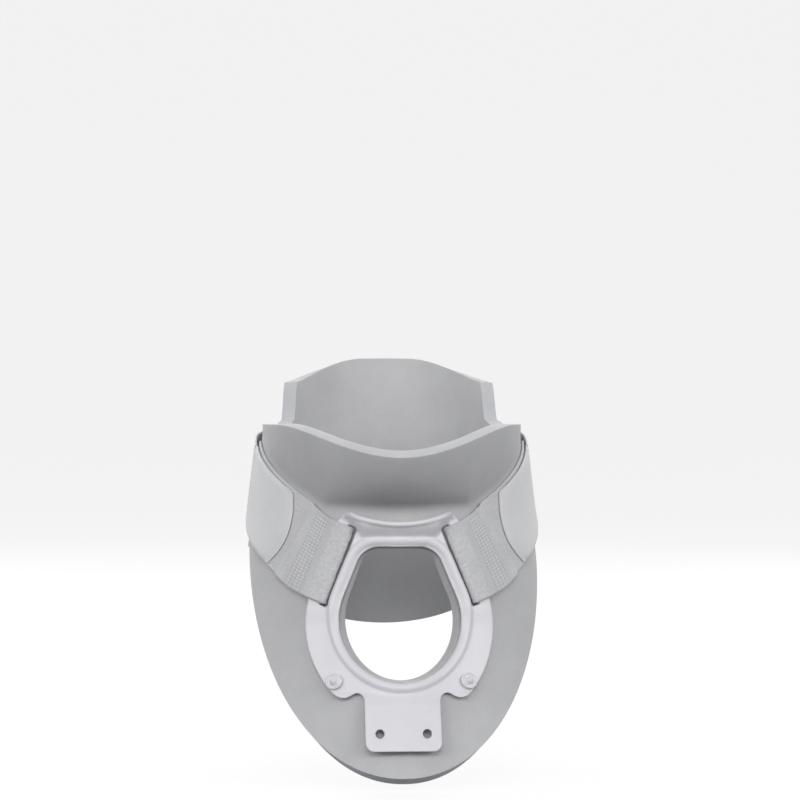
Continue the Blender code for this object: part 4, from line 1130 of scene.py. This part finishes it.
class Ribbon:
    """A strap's middle surface as a grid of points, with its normals and its lengths along and across.

    facing is 1 where the stations go round the neck to the back, and -1 where they come forwards, so that the
    normals point outwards on both.
    """

    def __init__(self, place, stations, width, thickness, columns, side, facing=1.0):
        self.thickness = thickness
        self.offsets = np.linspace(-0.5, 0.5, columns + 1) * (width - thickness)
        points = [[place(station, offset) for offset in self.offsets] for station in stations]
        self.middle = np.array(points, float)
        self.middle[:, :, 0] *= side
        along = np.gradient(self.middle, axis=0)
        across = np.gradient(self.middle, axis=1)
        self.across = across / np.linalg.norm(across, axis=2, keepdims=True)
        self.along = along / np.linalg.norm(along, axis=2, keepdims=True)
        normal = np.cross(self.along, self.across) * side * facing
        self.normal = normal / np.linalg.norm(normal, axis=2, keepdims=True)
        steps = np.linalg.norm(np.diff(self.middle[:, columns // 2], axis=0), axis=1)
        self.lengths = np.concatenate([[0.0], np.cumsum(steps)])

    def rings(self, relief=None):
        """The section at each station: outer face, round selvedge, inner face, other selvedge."""
        half = self.thickness / 2.0
        count, wide = self.middle.shape[:2]
        lift = np.full((count, wide), half) if relief is None else half + relief
        outer = self.middle + self.normal * lift[:, :, None]
        inner = self.middle - self.normal * half
        edge_angles = np.radians([60.0, 30.0, 0.0, -30.0, -60.0])
        parts = [outer]
        for column, sign, angles in ((-1, 1.0, edge_angles), (0, -1.0, edge_angles[::-1])):
            for angle in angles:
                out = self.across[:, column] * sign * math.cos(angle)
                out = out + self.normal[:, column] * math.sin(angle)
                parts.append((self.middle[:, column] + out * half)[:, None, :])
            if column == -1:
                parts.append(inner[:, ::-1])
        around = np.concatenate([self.offsets, np.full(5, self.offsets[-1] + half),
                                 self.offsets[::-1], np.full(5, self.offsets[0] - half)])
        return np.concatenate(parts, axis=1), around

    def mesh(self, name, relief=None, hollow_shade=None):
        rings, around = self.rings(relief)
        count, size = rings.shape[:2]
        faces = []
        for low in range(0, (count - 1) * size, size):
            for k in range(size):
                following = (k + 1) % size
                faces.append((low + k, low + following, low + size + following, low + size + k))
        faces.append(tuple(range(size)))
        faces.append(tuple((count - 1) * size + k for k in reversed(range(size))))
        made = bpy.data.meshes.new(name)
        made.from_pydata((rings.reshape(-1, 3) * MM).tolist(), [], faces)
        course = np.zeros((count, size, 3))
        course[:, :, 0] = self.lengths[:, None]
        course[:, :, 1] = around[None, :]
        layer = made.attributes.new("course", "FLOAT_VECTOR", "POINT")
        layer.data.foreach_set("vector", (course * MM).astype(np.float32).ravel())
        # The pile's painted shade, where the stitches pull it in, is stored on the points for its material.
        if hollow_shade is not None:
            values = np.zeros((count, size))
            values[:, :hollow_shade.shape[1]] = hollow_shade
            layer = made.attributes.new("hollow_shade", "FLOAT", "POINT")
            layer.data.foreach_set("value", values.astype(np.float32).ravel())
        bm = bmesh.new()
        bm.from_mesh(made)
        bmesh.ops.recalc_face_normals(bm, faces=bm.faces)
        return mesh_of(name, bm)

    def spot(self, length, offset, height):
        """A frame on the outer face: X along the strap, Z outwards."""
        row = int(np.argmin(np.abs(self.lengths - length)))
        row_gap = length - self.lengths[row]
        column = int(np.argmin(np.abs(self.offsets - offset)))
        place = self.middle[row, column] + self.along[row, column] * row_gap
        place = place + self.across[row, column] * (offset - self.offsets[column])
        place = place + self.normal[row, column] * (self.thickness / 2.0 + height)
        axes = Matrix([way[row, column] for way in (self.along, self.across, self.normal)]).transposed()
        return Matrix.Translation(Vector(place) * MM) @ axes.to_4x4()


def sew(name, ribbon, starts, pitch, size, material, across=False):
    """Rows of raised stitches across the strap: short, fat threads that dive in at their ends."""
    bm = bmesh.new()
    length, radius = size
    reach = (radius, length / 2.0) if across else (length / 2.0, radius)
    stretch = Matrix.Diagonal((reach[0] * MM, reach[1] * MM, radius * MM, 1.0))
    count = int(2.0 * (ribbon.offsets[-1] - STITCH_MARGIN) / pitch)
    for start in starts:
        for n in range(count + 1):
            spot = ribbon.spot(start, (n - count / 2.0) * pitch, -0.1)
            bmesh.ops.create_uvsphere(bm, u_segments=10, v_segments=7, radius=1.0, matrix=spot @ stretch)
    mesh = mesh_of(name, bm)
    mesh.shade_smooth()
    return add_piece(name, mesh, material)


def stitch_starts(ribbon, stations, first):
    """Lengths along the strap of the stitch rows, which go through its outer and folded-back layers."""
    bar = max(n for n, (distance, _) in enumerate(stations) if distance <= BAR_WIDTH)
    rows = [first + row * STITCH_ROW_PITCH for row in range(STITCH_ROWS)]
    return np.interp(rows, [distance for distance, _ in stations[bar:]], ribbon.lengths[bar:])


def pile_relief(ribbon, stations):
    """How proud the pile stands, and how much painted shade darkens it where the stitches pull it in, from 0
    to 1.

    The pile is pressed flat under the stitching and under the tab, and the stitches' ends pull it in.
    """
    band_low = STITCH_START - BAND_MARGIN
    band_high = STITCH_START + (STITCH_ROWS - 1) * STITCH_ROW_PITCH + BAND_MARGIN
    relief = np.zeros(ribbon.middle.shape[:2])
    hollow_shade = np.zeros(ribbon.middle.shape[:2])
    for row, (distance, height) in enumerate(stations):
        free = smooth(height, ribbon.thickness, 1.9 * ribbon.thickness)
        fold = 1.0 - smooth(distance, 2.0, BAR_WIDTH + BAR_STEP)
        fuzzy = FOLD_FUZZ * (1.0 - smooth(distance, -0.5, 2.5))
        pressed = smooth(distance, band_low - BAND_EASE[0], band_low)
        pressed *= 1.0 - smooth(distance, band_high, band_high + BAND_EASE[1])
        proud = PILE * (1.0 + FOLD_PUFF * fold) * (1.0 - pressed)
        proud *= 1.0 - smooth(distance, PILE_END - 6.0, PILE_END)
        turn = (distance - STITCH_START) / STITCH_ROW_PITCH + 0.5
        between_rows = 0.5 + 0.5 * math.cos(2.0 * math.pi * turn)
        for column, offset in enumerate(ribbon.offsets):
            place = Vector(ribbon.middle[row, column])
            tuft = noise.noise(place * 0.55)
            fibre = noise.noise(place * 2.1)
            line = 0.5 + 0.5 * math.cos(2.0 * math.pi * offset / STITCH_PITCH)
            pulled = pressed * (0.08 + 0.92 * between_rows * line)
            relief[row, column] = free * (proud * (1.0 + 0.4 * tuft) + fuzzy * fibre - STITCH_PULL * pulled)
            # Painted shade, where the stitches' ends pull the pile in.
            hollow_shade[row, column] = free * pulled
    return relief, hollow_shade


def strap_piece(name, ribbon, material, relief=None, hollow_shade=None):
    strap = add_piece(name, ribbon.mesh(name, relief, hollow_shade), material)
    shade_smooth(strap)
    return strap


def make_loop_strap(suffix, side, materials):
    stations = fold_stations(LOOP_THICKNESS, FRONT_RETURN)
    behind = GAP + LOOP_THICKNESS / 2.0
    tail = (WING_END - BAR_ANGLE - TAIL_MARGIN) / STRAP_PITCH
    stations += [(d, behind) for d in spread(FRONT_RETURN + STEP_DOWN, tail, 1.4)]

    def place(station, offset):
        distance, height = station
        angle, z = front_course(distance, offset, height)
        return lifted(front_wall, angle, z, height)

    ribbon = Ribbon(place, stations, LOOP_WIDTH, LOOP_THICKNESS, 96, side)
    strap = strap_piece("loop_strap_" + suffix, ribbon, materials["pile"], *pile_relief(ribbon, stations))
    keep(strap, "front_half", "loop_webbing", "front_loop_strap_" + suffix)
    starts = stitch_starts(ribbon, stations, STITCH_START)
    stitches = sew("loop_stitches_" + suffix, ribbon, starts, STITCH_PITCH, STITCH_SIZE, materials["thread"])
    keep(stitches, "front_half", "loop_webbing")


def tab_point(distance, offset=0.0, height=TAB_HEIGHT):
    """A point on the tab. Distance is along the strap, back from the upper front corner."""
    angle, z = across_strap(TAB_FRONT_ANGLE + distance * STRAP_PITCH, offset)
    return lifted(front_wall, angle, z, height)


def tab_distance(angle):
    return (angle - TAB_FRONT_ANGLE) / STRAP_PITCH


def make_back_strap(suffix, side, materials):
    """From the fold in the rear slot, past the line where the strap bends open, to the sewn seam."""
    stations = fold_stations(STRAP_THICKNESS, REAR_RETURN)
    behind = GAP + STRAP_THICKNESS / 2.0
    hinge = (REAR_BAR_ANGLE - HINGE_ANGLE) / REAR_PITCH
    stations += [(d, behind) for d in spread(REAR_RETURN + STEP_DOWN, hinge, 1.3)]
    tab_hinge = tab_distance(HINGE_ANGLE)
    stations += [(hinge + tab_hinge - d, None) for d in spread(tab_hinge, tab_distance(SEAM_ANGLE), 1.0)]

    def place(station, offset):
        distance, height = station
        if height is None:
            return tab_point(tab_hinge - (distance - hinge), offset)
        angle, z = rear_course(distance, offset, height)
        point = lifted(rear_wall, angle, z, height)
        leave = 1.0 - smooth(hinge - distance, 0.0, LEAVE_LENGTH)
        if leave > 0.0:
            point = point.lerp(lifted(front_wall, angle, z, TAB_HEIGHT), leave)
        return point

    ribbon = Ribbon(place, stations, STRAP_WIDTH, STRAP_THICKNESS, 38, side, facing=-1.0)
    strap = strap_piece("closing_strap_back_" + suffix, ribbon, materials["webbing"])
    starts = stitch_starts(ribbon, stations, REAR_STITCH_START)
    stitches = sew("rear_stitches_" + suffix, ribbon, starts, STITCH_PITCH, STITCH_SIZE, materials["thread"])
    keep(stitches, "rear_half", "strap_webbing")
    start = mirrored(place((hinge - BEND_REACH[0], behind), 0.0), side)
    end = mirrored(tab_point(tab_hinge - BEND_REACH[1]), side)
    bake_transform(strap)
    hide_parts("rear_strap_" + suffix)


def tab_front_edge(w):
    """The tab's front edge in mm along the strap. It bulges forward and its lower corner is cut back."""
    down = 1.0 - w
    return -down * (TAB_EDGE[0] - TAB_EDGE[1] * down)


def make_front_strap(suffix, side, materials):
    """From the sewn seam to the front edge, where the finger tip lifts."""
    seam = tab_distance(SEAM_ANGLE) - 0.1
    stations = [0.0] + spread(0.0, 1.0, 1.0 / 70.0)

    def before_edge(station, offset):
        front = tab_front_edge(min(max(offset / STRAP_WIDTH + 0.5, 0.0), 1.0))
        return front, (seam - front) * (1.0 - station)

    def place(station, offset):
        front, reach = before_edge(station, offset)
        sag = TIP_SAG * (1.0 - smooth(reach, 0.0, TIP_LENGTH))
        sag += EDGE_SAG * smooth(abs(offset), *EDGE_SAG_REACH)
        return tab_point(seam + (front - seam) * station, offset, TAB_HEIGHT - min(sag, TIP_SAG))

    ribbon = Ribbon(place, stations, STRAP_WIDTH, STRAP_THICKNESS, 42, side, facing=-1.0)

    def thinned(station, offset):
        return -THIN_EDGE[0] * (1.0 - smooth(before_edge(station, offset)[1], 0.0, THIN_EDGE[1]))

    relief = [[thinned(station, offset) for offset in ribbon.offsets] for station in stations]
    strap = strap_piece("closing_strap_front_" + suffix, ribbon, materials["webbing"], np.array(relief))
    seam_rows = sew("seam_stitches_" + suffix, ribbon, SEAM_ROWS, SEAM_PITCH, SEAM_STITCH_SIZE,
                    materials["thread"], across=True)
    keep(seam_rows, "strap_" + suffix, "strap_webbing")
    start, end = (mirrored(tab_point(TIP_LENGTH + reach), side) for reach in TIP_BEND)
    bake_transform(strap)
    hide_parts("strap_tab_" + suffix, "strap_tip_" + suffix)


def make_hook_patch(suffix, side, materials):
    first = TIP_LENGTH + HOOK_MARGINS[0]
    last = tab_distance(HOOK_BACK_ANGLE) - HOOK_MARGINS[1]
    stations = [last] + spread(last, first, 1.2)

    def place(station, offset):
        return tab_point(station, offset, HOOK_HEIGHT)

    ribbon = Ribbon(place, stations, STRAP_WIDTH - HOOK_INSET, HOOK_THICKNESS, 34, side, facing=-1.0)
    patch = strap_piece("hook_tape_" + suffix, ribbon, materials["hook"])
    keep(patch, "strap_" + suffix, "hook_tape", "hook_patch_" + suffix)


# ---- camera, light and floor

CAMERA_TURN = 3.5            # degrees to the wearer's right of straight ahead
CAMERA_DISTANCE = 1.6
CAMERA_SIDESTEP = 0.0053
CAMERA_HEIGHT = 0.094
CAMERA_LENS = 116.1
FLOOR_DROP = 0.004           # below the collar
FLOOR_FLAT = 3.0
FLOOR_CURVE = 1.5
WALL_HEIGHT = 3.0


def make_camera():
    turn = math.radians(CAMERA_TURN)
    forward = Vector((math.sin(turn), math.cos(turn), 0.0))
    right = Vector((math.cos(turn), -math.sin(turn), 0.0))
    data = bpy.data.cameras.new("camera")
    data.lens = CAMERA_LENS
    data.sensor_width = 36.0
    item = bpy.data.objects.new("camera", data)
    bpy.context.scene.collection.objects.link(item)
    item.location = right * CAMERA_SIDESTEP - forward * CAMERA_DISTANCE + Vector((0.0, 0.0, CAMERA_HEIGHT))
    item.rotation_euler = (math.pi / 2.0, 0.0, -turn)
    bpy.context.scene.camera = item


def area_light(name, location, target, width, height, power):
    data = bpy.data.lights.new(name, "AREA")
    data.shape = "RECTANGLE"
    data.size = width
    data.size_y = height
    data.energy = power
    item = bpy.data.objects.new(name, data)
    bpy.context.scene.collection.objects.link(item)
    item.location = location
    item.rotation_euler = (Vector(target) - Vector(location)).to_track_quat("-Z", "Y").to_euler()


def make_light():
    area_light("left", (-1.4, -1.1, 0.65), (0.0, -0.04, 0.0), 0.9, 0.9, 11.0)
    area_light("right", (1.4, -1.1, 0.65), (0.0, -0.04, 0.0), 0.9, 0.9, 11.5)
    area_light("front", (-0.1, -1.9, 1.25), (0.0, -0.04, 0.0), 1.2, 0.7, 13.5)
    area_light("back_left", (-1.1, 1.5, 0.9), (0.0, 0.05, 0.0), 1.0, 1.0, 16.0)
    area_light("back_right", (1.1, 1.5, 0.9), (0.0, 0.05, 0.0), 1.0, 1.0, 13.0)
    area_light("top", (0.0, 0.2, 1.7), (0.0, 0.0, 0.0), 1.6, 1.6, 6.2)
    world = bpy.data.worlds.new("studio")
    world.use_nodes = True
    background = world.node_tree.nodes["Background"]
    background.inputs["Color"].default_value = (0.93, 0.95, 1.0, 1.0)
    background.inputs["Strength"].default_value = 0.22
    bpy.context.scene.world = world
    bpy.context.scene.view_settings.view_transform = "Standard"


def make_floor():
    """A seamless pale sweep: flat under the collar, then curving up into a wall all round."""
    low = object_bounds()[0].z - FLOOR_DROP
    profile = [(0.0, low)] + arc((FLOOR_FLAT, low + FLOOR_CURVE), FLOOR_CURVE, -90.0, 0.0, 12)
    profile.append((FLOOR_FLAT + FLOOR_CURVE, low + FLOOR_CURVE + WALL_HEIGHT))
    mesh = mesh_of("floor", spun(profile, 64, 0.0001))
    mesh.shade_smooth()
    look = Look("floor", (0.14, 0.14, 0.14), 0.9, Specular_IOR_Level=0.1)
    look.set("Emission Color", (1.0, 1.0, 1.0, 1.0))
    look.set("Emission Strength", 0.84)
    floor = add_piece("floor", mesh, look.material)
    floor.visible_diffuse = False
    floor.visible_shadow = False


# ---- build

def build():
    foam = foam_material("foam", (0.52, 0.52, 0.53), 0.00012, 1700.0)
    cut_foam = foam_material("foam_cut_edge", (0.55, 0.55, 0.57), 0.0002, 1300.0)
    plastic = moulded_material("support_plastic", (0.745, 0.735, 0.77), 0.36)
    rivet_materials = {
        "rivet": moulded_material("rivet_plastic", (0.84, 0.84, 0.86), 0.16, Transmission_Weight=0.15,
                                  IOR=1.5, Coat_Weight=0.4, Coat_Roughness=0.08),
        "washer": moulded_material("washer_plastic", (0.72, 0.72, 0.74), 0.34),
    }
    strap_materials = {
        "pile": pile_material("loop_webbing", (0.64, 0.64, 0.655)),
        "webbing": webbing_material("strap_webbing", (0.71, 0.71, 0.715)),
        "hook": hook_material("hook_tape", (0.55, 0.55, 0.56)),
        "thread": thread_material("thread", (0.80, 0.80, 0.81)),
    }
    make_camera()
    make_foam((foam, cut_foam))
    make_plates(plastic)
    make_rivets(rivet_materials)
    for suffix, side in SIDES.items():
        make_loop_strap(suffix, side, strap_materials)
        make_back_strap(suffix, side, strap_materials)
        make_front_strap(suffix, side, strap_materials)
        make_hook_patch(suffix, side, strap_materials)
    make_light()
    make_floor()


build()
